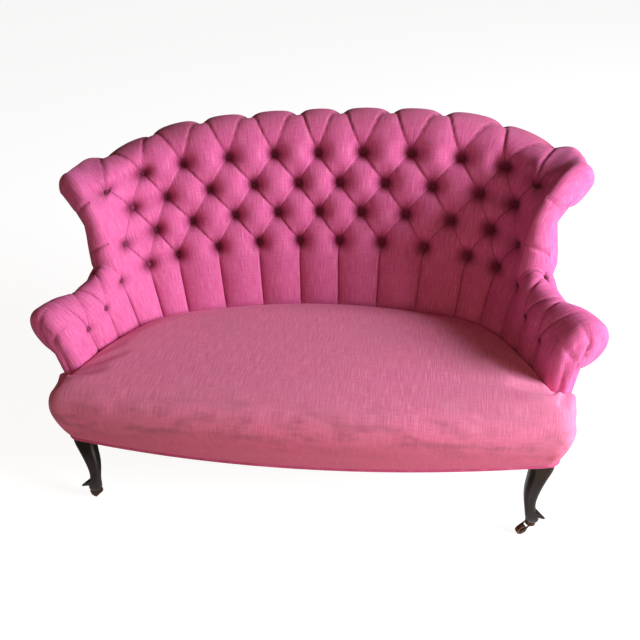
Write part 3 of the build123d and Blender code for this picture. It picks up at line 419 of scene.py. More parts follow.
def tufting(cut, rows, run):
    """How far the buttoning lifts the cloth at a cut, its painted shade (0 in a hollow) and its nearness to a
    fold, which paints the folds' shade.

    Each button pulls a round hollow; the cloth between four buttons stands up as a pillow, and from button
    to button the upper pillow is folded over the lower one. Below row 1 the folds hang straight down to the
    seat, and over the crest they run on as valleys.
    """
    station, arm, row_runs = cut.station, cut.arm, cut.row_runs()
    half_pitch = mix(BACK_HALF_PITCH, CORNER_HALF_PITCH, smooth(*PITCH_SPAN, station))
    depths = tuft_depths(station, arm)
    hollow = hollows(station, rows, run, row_runs, depths, half_pitch, arm)

    below = rows < 1
    if arm:
        before_front = 1 - smooth(*ARM_LAST_FOLDS, station)
        fade = smooth(*ARM_FOLD_SPAN, station) * before_front * (1 - smooth(*ARM_FOLD_ROWS, rows))
        fade = np.where(below, before_front, fade)
        level = rows
    else:
        fade = (1 - smooth(*WING_FOLD_SPAN, station)) * (1 - smooth(*CREST_FOLD_ROWS, rows))
        fade = np.where(below, 1, np.where(rows < 2, mix(1, fade, rows - 1), fade))
        level = np.where(rows > TOP_ROW, TOP_ROW + CREST_SPREAD * np.minimum(rows - TOP_ROW, 1), rows)
    upright = np.full(len(rows), (station - 1) / 2)
    rising, falling = (np.where(below, upright, (station + way * level) / 2) for way in (-1, 1))
    rise, fall = np.abs(np.sin(np.pi * rising)), np.abs(np.sin(np.pi * falling))
    channel = smooth(0, CHANNEL_START, np.where(below, 1 - rows, 0))
    sunk = mix(FOLD_DEPTH, depths[0], channel) * fade * (1 - np.minimum(rise, fall) ** 0.5)
    crown = CROWN * fade * (rise * fall) ** 0.8
    spacing = FOLD_SPACING * half_pitch

    def laid_over(line, upper):
        off = off_fold(line) * spacing
        return np.sign(off) * upper * np.exp(-np.abs(off) / LIP_WIDTH)

    slanting = laid_over(rising, -1) * fall + laid_over(falling, 1) * rise
    lip = np.where(below, CHANNEL_LIP * laid_over(upright, 1), slanting)
    nearest = np.minimum(np.abs(off_fold(rising)), np.abs(off_fold(falling))) * spacing
    # Nearness to a fold deepens the groove and paints the fold's shade
    groove = np.exp(-nearest / GROOVE_WIDTH) * fade
    lift = crown + LIP * lip * fade - GROOVE * groove - sunk - hollow
    return lift, np.clip(1 - hollow / DARK_HOLLOW, 0, 1), groove


ROW_GRID = np.concatenate((
    np.linspace(0, 1, CHANNEL_STEPS, endpoint=False),
    np.linspace(1, CREST_ROW, TOP_ROW * STEPS, endpoint=False),
    np.linspace(CREST_ROW, LAST_ROW, 2 * ROLL_STEPS + 1),
))


def return_path(cut, start, front):
    """Back of the pad, from the end of the scroll down to the seat frame; at its ends the outside line."""
    foot = ARM_PAD_FOOT if cut.arm else BACK_PAD_FOOT
    corners = [start, cut.axis - TOP_RAIL_HALF, (foot, SEAT_EDGE_Z), (foot, RAIL_TOP_Z)]
    heights = np.linspace(start[1], RAIL_TOP_Z, WALL_STEPS + 1)
    outer = np.array([(cut.outside(z), z) for z in heights])
    wall = mix(even(corners, WALL_STEPS + 1), outer, front)[1:]
    under = even([wall[-1], (0, RAIL_TOP_Z), (0, SEAT_EDGE_Z)], RETURN_STEPS + 1)[1:]
    return np.vstack((wall, under))


# Modelling helpers


def activate(piece):
    bpy.ops.object.select_all(action="DESELECT")
    piece.select_set(True)
    bpy.context.view_layer.objects.active = piece


def set_all(target, settings):
    for key, value in settings.items():
        setattr(target, key, value)


def apply_modifier(piece, kind, **settings):
    activate(piece)
    modifier = piece.modifiers.new(kind.title(), kind)
    set_all(modifier, settings)
    bpy.ops.object.modifier_apply(modifier=modifier.name)


def places_of(piece):
    """Places of a piece's points."""
    flat = np.empty(len(piece.data.vertices) * 3)
    piece.data.vertices.foreach_get("co", flat)
    return flat.reshape(-1, 3)


def grid_piece(name, points, uvs):
    """Grid primitive laid over columns of points, with the cloth's own measure as its UV map."""
    columns, rows = points.shape[:2]
    bpy.ops.object.select_all(action="DESELECT")
    bpy.ops.mesh.primitive_grid_add(x_subdivisions=rows - 1, y_subdivisions=columns - 1, size=1)
    piece = bpy.context.object
    piece.name = piece.data.name = name
    mesh = piece.data
    flat = places_of(piece)
    order = np.lexsort((flat[:, 0], flat[:, 1]))
    places = np.empty_like(flat)
    places[order] = points.reshape(-1, 3)
    cloth = np.empty((len(order), 2))
    cloth[order] = uvs.reshape(-1, 2)
    mesh.vertices.foreach_set("co", places.ravel())
    corner = np.zeros(len(mesh.loops), int)
    mesh.loops.foreach_get("vertex_index", corner)
    mesh.uv_layers[0].data.foreach_set("uv", cloth[corner].ravel())
    mesh.update()
    piece["order"] = order.tolist()
    return piece


def point_attribute(piece, name, values):
    """Stores one number per grid point on the mesh, for the finish to read."""
    attribute = piece.data.attributes.new(name, "FLOAT", "POINT")
    ordered = np.empty(len(piece["order"]))
    ordered[np.array(piece["order"])] = values.ravel()
    attribute.data.foreach_set("value", ordered)


def weld(piece, distance=1e-5):
    """Joins points that lie on each other."""
    activate(piece)
    bpy.ops.object.mode_set(mode="EDIT")
    bpy.ops.mesh.select_all(action="SELECT")
    bpy.ops.mesh.remove_doubles(threshold=distance)
    bpy.ops.object.mode_set(mode="OBJECT")


def close_ends(piece):
    """Fills the open ends and points every face outwards."""
    activate(piece)
    bpy.ops.object.mode_set(mode="EDIT")
    bpy.ops.mesh.select_mode(type="EDGE")
    bpy.ops.mesh.select_all(action="DESELECT")
    bpy.ops.mesh.select_non_manifold()
    bpy.ops.mesh.fill_holes(sides=0)
    bpy.ops.mesh.select_all(action="SELECT")
    bpy.ops.mesh.normals_make_consistent(inside=False)
    bpy.ops.object.mode_set(mode="OBJECT")
    bpy.ops.object.shade_smooth()


def thicken(piece, thickness):
    """Gives a sheet its thickness; returns the area that it had without."""
    area = sum(face.area for face in piece.data.polygons)
    apply_modifier(piece, "SOLIDIFY", thickness=thickness, offset=0)
    close_ends(piece)
    return area


def swept(name, centres, sides, outline):
    """Closed upright outline carried along a line of points, with its own measure as UV map."""
    loop = np.vstack((outline, outline[:1]))
    points = centres[:, None] + loop[:, 0, None] * sides[:, None] + loop[:, 1, None] * np.array((0, 0, 1))
    cloth = np.stack(np.broadcast_arrays(run_along(loop)[None, :], run_along(centres)[:, None]), axis=-1)
    piece = grid_piece(name, points, cloth)
    weld(piece)
    close_ends(piece)
    return piece


def join_pieces(name, pieces):
    activate(pieces[0])
    for piece in pieces:
        piece.select_set(True)
    if len(pieces) > 1:
        bpy.ops.object.join()
    piece = bpy.context.object
    piece.name = piece.data.name = name
    return piece


def dress(piece, slot, finish, *nodes):
    """Gives a piece of the upholstery its finish and the solids that it stands for."""
    piece.data.materials.clear()
    piece.data.materials.append(finish)
    if "order" in piece:
        del piece["order"]
    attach(piece, "settee")
    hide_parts(*nodes)


# Finishes


def colour(code):
    """sRGB hex as linear colour."""
    values = [int(code[i : i + 2], 16) / 255 for i in (1, 3, 5)]
    return (*[v / 12.92 if v <= 0.04045 else ((v + 0.055) / 1.055) ** 2.4 for v in values], 1)


def add(tree, kind, inputs=(), **settings):
    """Adds a node with its settings; each input is a socket's name or number with a value or a link."""
    made = tree.nodes.new(kind)
    set_all(made, settings)
    for key, value in dict(inputs).items():
        if isinstance(value, bpy.types.NodeSocket):
            tree.links.new(value, made.inputs[key])
        else:
            made.inputs[key].default_value = value
    return made


def scaled(tree, value, low, high, start, end):
    """Value carried from one range to another and held inside it."""
    return add(tree, "ShaderNodeMapRange", {0: value, 1: low, 2: high, 3: start, 4: end}).outputs[0]


def times(tree, value, other):
    return add(tree, "ShaderNodeMath", {0: value, 1: other}, operation="MULTIPLY").outputs[0]


def tinted(tree, share, tone, other):
    """Colour turned towards another by a share."""
    return add(tree, "ShaderNodeMix", {0: share, 6: tone, 7: other}, data_type="RGBA").outputs[2]


def noise(tree, place, scale, detail, shift=0.0, dimensions="2D"):
    """Unevenness with so many marks per metre each way."""
    place = add(tree, "ShaderNodeMapping", {0: place, 1: (shift, shift, 0), 3: scale}).outputs[0]
    inputs = {"Vector": place, "Scale": 1.0, "Detail": detail}
    return add(tree, "ShaderNodeTexNoise", inputs, noise_dimensions=dimensions).outputs[0]


def start_finish(name, **sockets):
    finish = bpy.data.materials.new(name)
    finish.use_nodes = True
    tree = finish.node_tree
    surface = tree.nodes["Principled BSDF"]
    for key, value in sockets.items():
        surface.inputs[key.replace("_", " ")].default_value = value
    return finish, tree, surface


def lay_on(tree, surface, tone, height, strength, distance):
    """Gives a surface its colour and its fine relief."""
    tree.links.new(tone, surface.inputs["Base Color"])
    if strength:
        inputs = {"Strength": strength, "Distance": distance, "Height": height}
        bump = add(tree, "ShaderNodeBump", inputs)
        tree.links.new(bump.outputs[0], surface.inputs["Normal"])


def linen(name, dark, mid, light, stain=None):
    """Slubbed linen and cotton weave, piece dyed: uneven yarns both ways, matt with a faint bloom."""
    finish, tree, surface = start_finish(
        name, Roughness=0.9, Sheen_Weight=0.22, Sheen_Roughness=0.45, Sheen_Tint=colour("#F4A9CF"),
        Specular_IOR_Level=0.25,
    )
    cloth = add(tree, "ShaderNodeUVMap", uv_map="UVMap").outputs[0]
    # Yarns are about 1 mm apart; drawn at 2.4 mm across and 50 mm long so that the slubs show
    warp = noise(tree, cloth, (420, 20, 1), 3.0)
    weft = noise(tree, cloth, (26, 420, 1), 3.0, shift=7.3)
    weave = add(tree, "ShaderNodeMix", {0: 0.3, 2: warp, 3: weft}).outputs[0]
    shade = add(tree, "ShaderNodeValToRGB", {0: weave})
    stops = shade.color_ramp.elements
    stops.new(0.5)
    for stop, place, code in zip(stops, (0.3, 0.5, 0.7), (dark, mid, light)):
        stop.position, stop.color = place, colour(code)
    tone = shade.outputs[0]
    if stain is not None:
        tone = stain(tree, cloth, tone)
    lay_on(tree, surface, tone, weave, 0.35, 0.0012)
    return finish


def painted_cover_shade(tree, cloth, tone):
    """Painted shade: the cloth is darkened in the button hollows and along the folds, and dulled and greyed
    on the crest where less light falls.
    """
    for mark, low, high, start, end, code in (
        # Painted shade dulling and greying the crest
        ("painted_crest_shade", 0.0, 1.0, 0.0, 0.6, "#A85A70"),
        # Painted shade in the button hollows
        ("crown", 0.0, 0.75, 0.85, 0.0, "#7A1F46"),
        # Painted contact shadow along the folds and the pleats
        ("fold", 0.4, 1.0, 0.0, 0.6, "#5E1A38"),
    ):
        value = add(tree, "ShaderNodeAttribute", attribute_name=mark).outputs["Fac"]
        tone = tinted(tree, scaled(tree, value, low, high, start, end), tone, colour(code))
    return tone


def seat_wear(tree, cloth, tone):
    """Light has faded the top, the front turns redder and darker down from its top edge, and grime lies along
    the front edge.
    """
    faded = scaled(tree, noise(tree, cloth, (5, 5, 1), 4.0), 0.35, 0.7, 0.0, 0.4)
    tone = tinted(tree, faded, tone, colour("#C9809A"))
    run = add(tree, "ShaderNodeSeparateXYZ", {0: cloth}).outputs[1]
    # Redder and darker down the front from its top edge
    tone = tinted(tree, scaled(tree, run, -0.41, -0.52, 0.0, 0.6), tone, colour("#C05068"))
    grime = scaled(tree, noise(tree, cloth, (11, 30, 1), 5.0), 0.45, 0.75, 0.0, 0.5)
    for clean, dirty in ((-0.36, -0.45), (-0.56, -0.47)):
        grime = times(tree, grime, scaled(tree, run, clean, dirty, 0.0, 1.0))
    return tinted(tree, grime, tone, colour("#7A4652"))


def plain_finish(name, base, other, scale, roughness, metallic=0.0, bump=0.0):
    """Rigid finish with a fine unevenness of colour and surface, at a scale in marks per metre."""
    finish, tree, surface = start_finish(name, Roughness=roughness, Metallic=metallic)
    place = add(tree, "ShaderNodeTexCoord").outputs["Object"]
    marks = noise(tree, place, scale, 4.0, dimensions="3D")
    lay_on(tree, surface, tinted(tree, marks, colour(base), colour(other)), marks, bump, 0.001)
    return finish


# Cover linen, with painted shade in its hollows, along its folds and on its crest
ROSE_LINEN = linen("rose_linen", "#C05288", "#CE639A", "#DC7DAE", painted_cover_shade)
SEAT_LINEN = linen("worn_rose_linen", "#CA688F", "#D9799F", "#E692B3", seat_wear)
# The buttons' cloth is the cover linen darkened with painted shade
SHADED_BUTTON_LINEN = linen("rose_linen_button_painted_shade", "#5A1C36", "#742A49", "#96496A")
PANEL_LINEN = linen("rose_linen_panel", "#C05288", "#CE639A", "#DC7DAE")
# The piping's cloth is the panel linen darkened with painted shade
SHADED_PIPING_LINEN = linen("rose_linen_piping_painted_shade", "#B0426E", "#C2547F", "#D4769C")
EBONISED = plain_finish("ebonised_beech", "#0A0908", "#1B1815", (90, 90, 14), 0.34, bump=0.15)
BRONZE = plain_finish("darkened_bronze", "#2E2418", "#5A4526", (120, 120, 120), 0.5, metallic=0.9)
WHEEL_WOOD = plain_finish("dark_hardwood", "#3A2116", "#5E3A24", (200, 200, 200), 0.5)
BEECH = plain_finish("sawn_beech", "#B08A58", "#C9A673", (60, 60, 8), 0.7, bump=0.2)
JUTE = plain_finish("jute_webbing", "#8A6B42", "#A98A5C", (500, 500, 500), 0.9, bump=0.4)
HESSIAN = plain_finish("hessian", "#93764C", "#B39567", (600, 600, 600), 0.95, bump=0.4)
SPRING_WIRE = plain_finish("spring_wire", "#6B5A4A", "#8A7A68", (300, 300, 300), 0.45, metallic=1.0)
PLAIN_STEEL = plain_finish("plain_steel", "#7A7A78", "#9A9A98", (300, 300, 300), 0.4, metallic=1.0)
DUST_CLOTH = plain_finish("black_bottoming_cloth", "#1B1A18", "#2B2926", (500, 500, 500), 0.95, bump=0.4)

# Back and arms cover

END_TURNS = np.radians(np.arange(8, 89, 8))
END_SHARES = np.linspace(0, 0.94, 14)[1:]
DOME_TURNS = np.radians(np.linspace(5, 87, 20))
SEAM_TURN = math.radians(48)
END_CORE = 0.04
EAR_DEPTH = 0.09
STEM_FOOT = 0.02
# The end panels lie beside the rest on the cloth, and so does the back of the pad
END_CLOTH = (1.7, 0)
RETURN_CLOTH = 0.5
# Pleats on the ends: offset and height of their points
WING_PLEATS = (
    ((0.105, 0.803), (0.137, 0.767), (0.180, 0.720)),
    ((0.020, 0.690), (0.062, 0.667), (0.140, 0.618)),
)
ARM_PLEATS = (
    ((0.077, 0.574), (0.090, 0.533), (0.079, 0.495)),
    ((-0.010, 0.560), (0.030, 0.522), (0.052, 0.490)),
)
PLEAT_DEPTH = 0.006
PLEAT_WIDTH = 0.006
# How strongly painted shade darkens the pleats on the ends
PLEAT_SHADE = 0.75


def line_distance(points, line):
    """Distance of points from a line through a few places."""
    nearest = np.full(len(points), np.inf)
    for first, last in zip(np.array(line), np.array(line[1:])):
        step = last - first
        share = np.clip((points - first) @ step / (step @ step), 0, 1)
        nearest = np.minimum(nearest, np.linalg.norm(points - first - share[:, None] * step, axis=1))
    return nearest


def rolled_end():
    """Stops of an arm's front, rounded over its edge: distance ahead, draw in, shrink, past the seam."""
    stops = [
        (TO_ROUND + ARM_ROUND * math.sin(t), ARM_ROUND * (1 - math.cos(t)), 0.0, t > SEAM_TURN)
        for t in END_TURNS
    ]
    top, inset = stops[-1][:2]
    bulge = ARM_BULGE * np.sin(END_SHARES * math.pi / 2)
    return stops + [(top + ahead, inset, share, True) for ahead, share in zip(bulge, END_SHARES)]


def domed_end():
    """Stops of a wing's end, round all over; distances ahead are shares of its half thickness."""
    return [(WING_NOSE * math.sin(t), 0.0, 1 - math.cos(t), t > SEAM_TURN) for t in DOME_TURNS]


def middle_line(cut, loop):
    """Middle of a pad's end behind each point of its outline, and half its thickness there.

    The middle is the scroll's axis at the top, and halfway through the stem below it.
    """
    targets, halves = [], []
    for point in loop:
        height = min(max(point[1], RAIL_TOP_Z + STEM_FOOT), cut.axis[1])
        lean = math.tan(cut.lean) * max(0.0, height - SEAT_EDGE_Z)
        stem = np.array(((lean + cut.outside(height)) / 2, height))
        share = smooth(cut.axis[1] - EAR_DEPTH, cut.axis[1], height)
        targets.append(mix(stem, cut.axis, share))
        halves.append(mix((cut.outside(height) - lean) / 2, cut.radius, share))
    return np.array(targets), np.array(halves)


def wrap_end(cut, outline, stops, pleats, spread):
    """Columns that wrap the cloth round a pad's end and close in on its middle; the last part cut flat."""
    loop = np.vstack((outline, return_path(cut, outline[-1], 1.0)))
    loop[-1] = outline[0]
    middle, half = middle_line(cut, loop)
    reach = np.ones(len(loop)) if cut.arm else half
    away = loop - middle
    length = np.linalg.norm(away, axis=1)[:, None] + 1e-9
    columns, cloths, folds = [], [], []
    flat, seamed = loop, False
    for ahead, inset, shrink, past_seam in stops:
        drawn = middle + away * np.maximum(END_CORE, (length - inset) / length) * (1 - shrink)
        wrapped = np.full(len(loop), spread + ahead * reach.mean() + inset)
        if past_seam and not seamed:
            columns.append(columns[-1])
            folds.append(folds[-1])
            cloths.append(flat + END_CLOTH)
            seamed = True
        nearness = sum(np.exp(-((line_distance(drawn, pleat) / PLEAT_WIDTH) ** 1.5)) for pleat in pleats)
        columns.append(cut.place(drawn, (ahead * reach - PLEAT_DEPTH * nearness)[:, None]))
        # Painted shade along the pleats
        folds.append(PLEAT_SHADE * nearness)
        cloths.append(drawn + END_CLOTH if past_seam else np.column_stack((wrapped, run_along(drawn))))
        flat = drawn
    return columns, cloths, folds


class Cover:
    """Half of a buttoned cover: strips of points with their cloth measure, and the painted shade of their
    hollows, folds and crest.
    """

    def __init__(self, stations, arm):
        self.stations, self.strips = stations, []
        cuts = [Section(station, arm) for station in stations]
        runs = np.array([np.interp(ROW_GRID, ROWS, cut.row_runs()) for cut in cuts])
        lines = [cut.at(run) for cut, run in zip(cuts, runs)]
        plain = np.array([cut.place(line[0]) for cut, line in zip(cuts, lines)])
        normals = np.array([cut.turn(line[1]) for cut, line in zip(cuts, lines)])
        if not arm:
            plain, normals = (self.spread_crest(values) for values in (plain, normals))
        formed = [tufting(cut, ROW_GRID, run) for cut, run in zip(cuts, runs)]
        # shade is the painted shade of the hollows; groove also paints the folds' shade
        lift, shade, groove = (np.array([column[i] for column in formed]) for i in range(3))
        self.normals = normals
        self.front = plain + normals * lift[:, :, None]
        spread = run_along(plain[:, int(np.argmin(np.abs(ROW_GRID - (1 if arm else 2))))])
        # Painted shade along the crest, fading out towards the wing
        dulled = smooth(*CREST_SHADE_ROWS, ROW_GRID) * (0 if arm else 1)
        closing = ARM_CLOSING if arm else WING_CLOSING
        for i, (cut, station) in enumerate(zip(cuts, stations)):
            end = self.front[i, -1]
            flat = np.array(((end[:2] - cut.foot) @ cut.out, end[2]))
            back = return_path(cut, flat, smooth(*closing, station))
            loop = np.vstack((self.front[i], cut.place(back)))
            loop[-1] = loop[0]
            behind = np.linspace(0, RETURN_CLOTH, len(back) + 1)[1:]
            along = np.concatenate((runs[i], runs[i, -1] + behind))
            cloth = np.column_stack((np.full(len(along), spread[i]), along))
            crest_shading = dulled * (1 - smooth(*CREST_SHADE_SPAN, station))
            marks = [
                np.append(values, np.full(len(back), rest))
                for values, rest in ((shade[i], 1), (groove[i], 0), (crest_shading, 0))
            ]
            self.strips.append((loop, cloth, *marks))
        outline = lines[-1][0] + lines[-1][1] * lift[-1][:, None]
        stops, pleats = (rolled_end(), ARM_PLEATS) if arm else (domed_end(), WING_PLEATS)
        for column, cloth, fold in zip(*wrap_end(cuts[-1], outline, stops, pleats, spread[-1])):
            self.strips.append((column, cloth, np.ones(len(column)), fold, np.zeros(len(column))))

    def spread_crest(self, values):
        """Moves the valleys of the crest outwards along it."""
        moved = values.copy()
        shift = np.array([VALLEY_SHIFT(station) for station in self.stations])
        for j, row in enumerate(ROW_GRID):
            source = self.stations + shift * smooth(TOP_ROW, CREST_ROW, row)
            for k in range(3):
                moved[:, j, k] = np.interp(source, self.stations, values[:, j, k])
        return moved

    def build(self, name, side, *nodes):
        """Makes the piece: the whole of it mirrored about the middle (side 0), or one side alone."""

        def laid(values, sign=1):
            right, left = np.array(values), np.array(values)
            left[..., 0] *= sign
            return {0: np.concatenate((left[:0:-1], right)), 1: right, -1: left[::-1]}[side]

        columns, cloths, *marks = zip(*self.strips)
        piece = grid_piece(name, laid(columns, -1), laid(cloths, -1))
        # Marks of the painted shade: in the hollows, along the folds, on the crest
        for mark, values in zip(("crown", "fold", "painted_crest_shade"), marks):
            point_attribute(piece, mark, laid(values))
        weld(piece)
        close_ends(piece)
        dress(piece, "cover", ROSE_LINEN, *nodes)


ARM_STATIONS = LAST_STATION - WING_STATION
BACK_COVER = Cover(np.linspace(0, WING_STATION, WING_STATION * STEPS + 1), arm=False)
BACK_COVER.build("inside_back", 0, "back_pad")
ARM_COVER = Cover(np.linspace(WING_STATION, LAST_STATION, ARM_STATIONS * STEPS + 1), arm=True)
for flip, word in SIDES:
    ARM_COVER.build(f"{word}_inside_arm", flip, f"{word}_arm_pad", f"{word}_arm_front")

# Rail inside the scroll

RAIL_HALF = 0.015
RAIL_EDGE = 0.004
SCROLL_RAIL_END = 10.6
ARM_RAIL_START = 11.8
RAIL_STOPS = 54
ARM_RAIL_STOPS = 22
# Middle of the rail in the wing, down to the arm's rail: station, offset, height
WING_RAIL = ((10.9, 0.180, 0.775), (11.0, 0.132, 0.715), (11.12, 0.118, 0.640), (11.5, 0.092, 0.553))
RAIL_TURNS = np.radians(np.arange(15, 375, 30))
ROUND_EDGE = np.column_stack((np.cos(RAIL_TURNS), np.sin(RAIL_TURNS)))
RAIL_OUTLINE = (RAIL_HALF - RAIL_EDGE) * np.sign(ROUND_EDGE) + RAIL_EDGE * ROUND_EDGE


def axis_stops(first, last, count, arm):
    """Cuts with the axis of their scroll."""
    cuts = [Section(station, arm) for station in np.linspace(first, last, count)]
    return [(cut, cut.axis) for cut in cuts]


def build_rail(name, node, stops, flip=None):
    """Shaped rail through places in upright cuts, right across the back or on one side."""
    centres = np.array([cut.place(place)[0] for cut, place in stops])
    sides = np.array([(*cut.out, 0) for cut, _ in stops])
    if flip is None:
        centres, sides = mirrored(centres), mirrored(sides)
    else:
        centres, sides = centres * (flip, 1, 1), sides * (flip, 1, 1)
    piece = swept(name, centres, sides, RAIL_OUTLINE)
    dress(piece, "beech", BEECH, node)


WING_STOPS = [(Section(station, arm=True), place) for station, *place in WING_RAIL]
build_rail("shaped_top_rail", "top_rail", axis_stops(0, SCROLL_RAIL_END, RAIL_STOPS, arm=False) + WING_STOPS)
for flip, word in SIDES:
    stops = axis_stops(ARM_RAIL_START, LAST_STATION, ARM_RAIL_STOPS, arm=True)
    build_rail(f"{word}_shaped_arm_rail", f"{word}_arm_rail", stops, flip)

# Outside covers

PANEL_STEPS = 28
BACK_PANEL_CUTS = 89
ARM_PANEL_CUTS = 45
ARM_PANEL_START = WING_STATION - 0.5
PANEL_BOW = 0.007
PANEL_THICKNESS = 0.0025
PANEL_TURN = 0.12
FLAP_TOP_Z = 0.336
FLAP_INSET = 0.010
FLAP_TUCK = 0.018
WING_TUCK = 0.010
WING_TUCK_IN = 0.015


def panel_column(cut, top=None, ahead=0.0, inset=0.0):
    """Line of an outside cover from under the scroll down to the base, bowed by its wadding."""
    share = np.linspace(0, 1, PANEL_STEPS)
    start = cut.line[-1]
    heights = mix(start[1] if top is None else top, BASE_Z, share)
    offsets = np.array([cut.outside(z) for z in heights]) + PANEL_BOW * np.sin(np.pi * share) ** 0.8
    if top is None:
        offsets = mix(start[0], offsets, smooth(0, PANEL_TURN, share))
    return cut.place(np.column_stack((offsets - inset, heights)), ahead)


def build_panel(name, node, columns):
    """Outside cover: cloth over a layer of wadding."""
    spread = run_along(columns[:, -1])[:, None]
    piece = grid_piece(name, columns, np.stack(np.broadcast_arrays(spread, columns[:, :, 2]), axis=-1))
    thicken(piece, PANEL_THICKNESS)
    dress(piece, "cover", PANEL_LINEN, node)


BACK_CUTS = [Section(station, arm=False) for station in np.linspace(0, WING_STATION, BACK_PANEL_CUTS)]
BACK_PANEL = [panel_column(cut) for cut in BACK_CUTS]
WING_EDGE = panel_column(BACK_CUTS[-1], ahead=WING_TUCK, inset=WING_TUCK_IN)
build_panel("outside_back_cover", "outside_back", mirrored(np.array(BACK_PANEL + [WING_EDGE])))
ARM_PANEL_STATIONS = np.linspace(ARM_PANEL_START, LAST_STATION, ARM_PANEL_CUTS)
ARM_CUTS = [Section(station, arm=True) for station in ARM_PANEL_STATIONS]
ARM_PANEL = [panel_column(cut) for cut in ARM_CUTS]
for ahead, top, inset in (
    (TO_ROUND, None, 0),
    (TO_ROUND + PANEL_THICKNESS, FLAP_TOP_Z, 0),
    (TO_FRONT, FLAP_TOP_Z, FLAP_INSET),
    (TO_FRONT + FLAP_TUCK, FLAP_TOP_Z, FLAP_TUCK),
):
    ARM_PANEL.append(panel_column(ARM_CUTS[-1], top, ahead, inset))
for flip, word in SIDES:
    build_panel(f"{word}_outside_arm_cover", f"{word}_outside_arm", np.array(ARM_PANEL) * (flip, 1, 1))

# Hessian and webbing that carry the back pad

BACKING_END = 10.2
BACKING_CUTS = 103
BACKING_STEPS = 25
BACKING_SAMPLES = 100
HESSIAN_THICKNESS = 0.0012
HESSIAN_GAP = 0.0035
WEB_WIDTH = 0.050
WEB_CUTS = 5
WEB_THICKNESS = 0.0016
WEB_HALF = WEB_WIDTH / BACK_HALF_PITCH / 2
WEB_UPRIGHTS = (-9, -6, -3, 0, 3, 6, 9)
UPRIGHT_GAP = 0.006
WEB_CROSSINGS = (0.35, 0.60, 0.85)
CROSSING_GAP = 0.009
CROSSING_HALF = 0.05


def backing_column(station, gap, low=0.0, high=1.0):
    """Line up the back of the pad, from the seat frame to the rail in the scroll."""
    cut = Section(abs(station), arm=False)
    corners = [(BACK_PAD_FOOT, RAIL_TOP_Z), (BACK_PAD_FOOT, SEAT_EDGE_Z), cut.axis - TOP_RAIL_HALF]
    line = even(corners, BACKING_SAMPLES + 1)
    part = line[int(BACKING_SAMPLES * low) : int(BACKING_SAMPLES * high) + 1]
    return cut.place(even(part + (gap, 0), BACKING_STEPS)) * (1 if station >= 0 else -1, 1, 1)


def backing_strip(stations, gap, low=0.0, high=1.0):
    return np.array([backing_column(station, gap, low, high) for station in stations])


def build_backing(name, node, slot, finish, strips, thickness):
    """Strips of cloth strained over the frame and tacked; a width is the one of a web cut into lengths."""
    made = []
    for i, columns in enumerate(strips):
        strip = grid_piece(f"{name}_{i}", columns, columns[:, :, [0, 2]])
        del strip["order"]
        made.append(strip)
    piece = join_pieces(name, made)
    area = thicken(piece, thickness)
    dress(piece, slot, finish, node)


BACKING_STATIONS = np.linspace(-BACKING_END, BACKING_END, BACKING_CUTS)
CLOTH = backing_strip(BACKING_STATIONS, HESSIAN_GAP)
build_backing("strained_hessian", "back_hessian", "hessian", HESSIAN, [CLOTH], HESSIAN_THICKNESS)
WEBS = [
    backing_strip(np.linspace(middle - WEB_HALF, middle + WEB_HALF, WEB_CUTS), UPRIGHT_GAP)
    for middle in WEB_UPRIGHTS
]
WEBS += [
    backing_strip(BACKING_STATIONS, CROSSING_GAP, share - CROSSING_HALF, share + CROSSING_HALF)
    for share in WEB_CROSSINGS
]
build_backing("strained_webbing", "back_webbing", "jute", JUTE, WEBS, WEB_THICKNESS)

# Piping

PIPING_RADIUS = 0.0027
PIPING_STEP = 1.9
PIPING_TURNS = np.radians(np.arange(0, 360, 30))
PIPING_OUTLINE = PIPING_RADIUS * np.column_stack((np.cos(PIPING_TURNS), np.sin(PIPING_TURNS)))
# How far the piping stands out from a cover's foot, in its radius
PANEL_PIPING_OUT = 0.8
SEAT_PIPING_OUT = 0.5
SEAT_PIPING_LIFT = 0.0035


def beside(places):
    """Level directions to the left of a line of places."""
    along = np.gradient(places, axis=0)
    return unit(np.column_stack((-along[:, 1], along[:, 0], np.zeros(len(along)))))


def build_piping(name, node, places):
    """Double piping: two cords side by side in one strip of cloth, along the foot of a cover."""
    sides = -beside(places)
    cords = [
        swept(f"{name}_{i}", places + (0, 0, PIPING_RADIUS * (1 + PIPING_STEP * i)), sides, PIPING_OUTLINE)
        for i in (0, 1)
    ]
    piece = join_pieces(name, cords)
    # The piping's darker linen is painted shade
    dress(piece, "trim", SHADED_PIPING_LINEN, node)


def panel_foot(columns):
    """Line of the piping along the foot of an outside cover."""
    feet = np.array([column[-1] for column in columns])
    return feet + PANEL_PIPING_OUT * PIPING_RADIUS * beside(feet)


build_piping("back_piping", "back_trim", mirrored(panel_foot(BACK_PANEL)))
for flip, word in SIDES:
    build_piping(f"{word}_arm_piping", f"{word}_arm_trim", panel_foot(ARM_PANEL) * (flip, 1, 1))

# Buttons

BUTTON_RADIUS = 0.0095
BUTTON_RISE = 0.62
BUTTON_SINK = 0.35
BUTTON_SEAT = 0.003
GATHERS = 9
GATHER_DEPTH = 0.035


def cover_place(station, row):
    """Point and normal of the cover at a button."""
    cover = BACK_COVER if abs(station) <= WING_STATION else ARM_COVER
    i = int(np.argmin(np.abs(cover.stations - abs(station))))
    j = int(np.argmin(np.abs(ROW_GRID - row)))
    flip = (1 if station >= 0 else -1, 1, 1)
    return cover.front[i, j] * flip, cover.normals[i, j] * flip


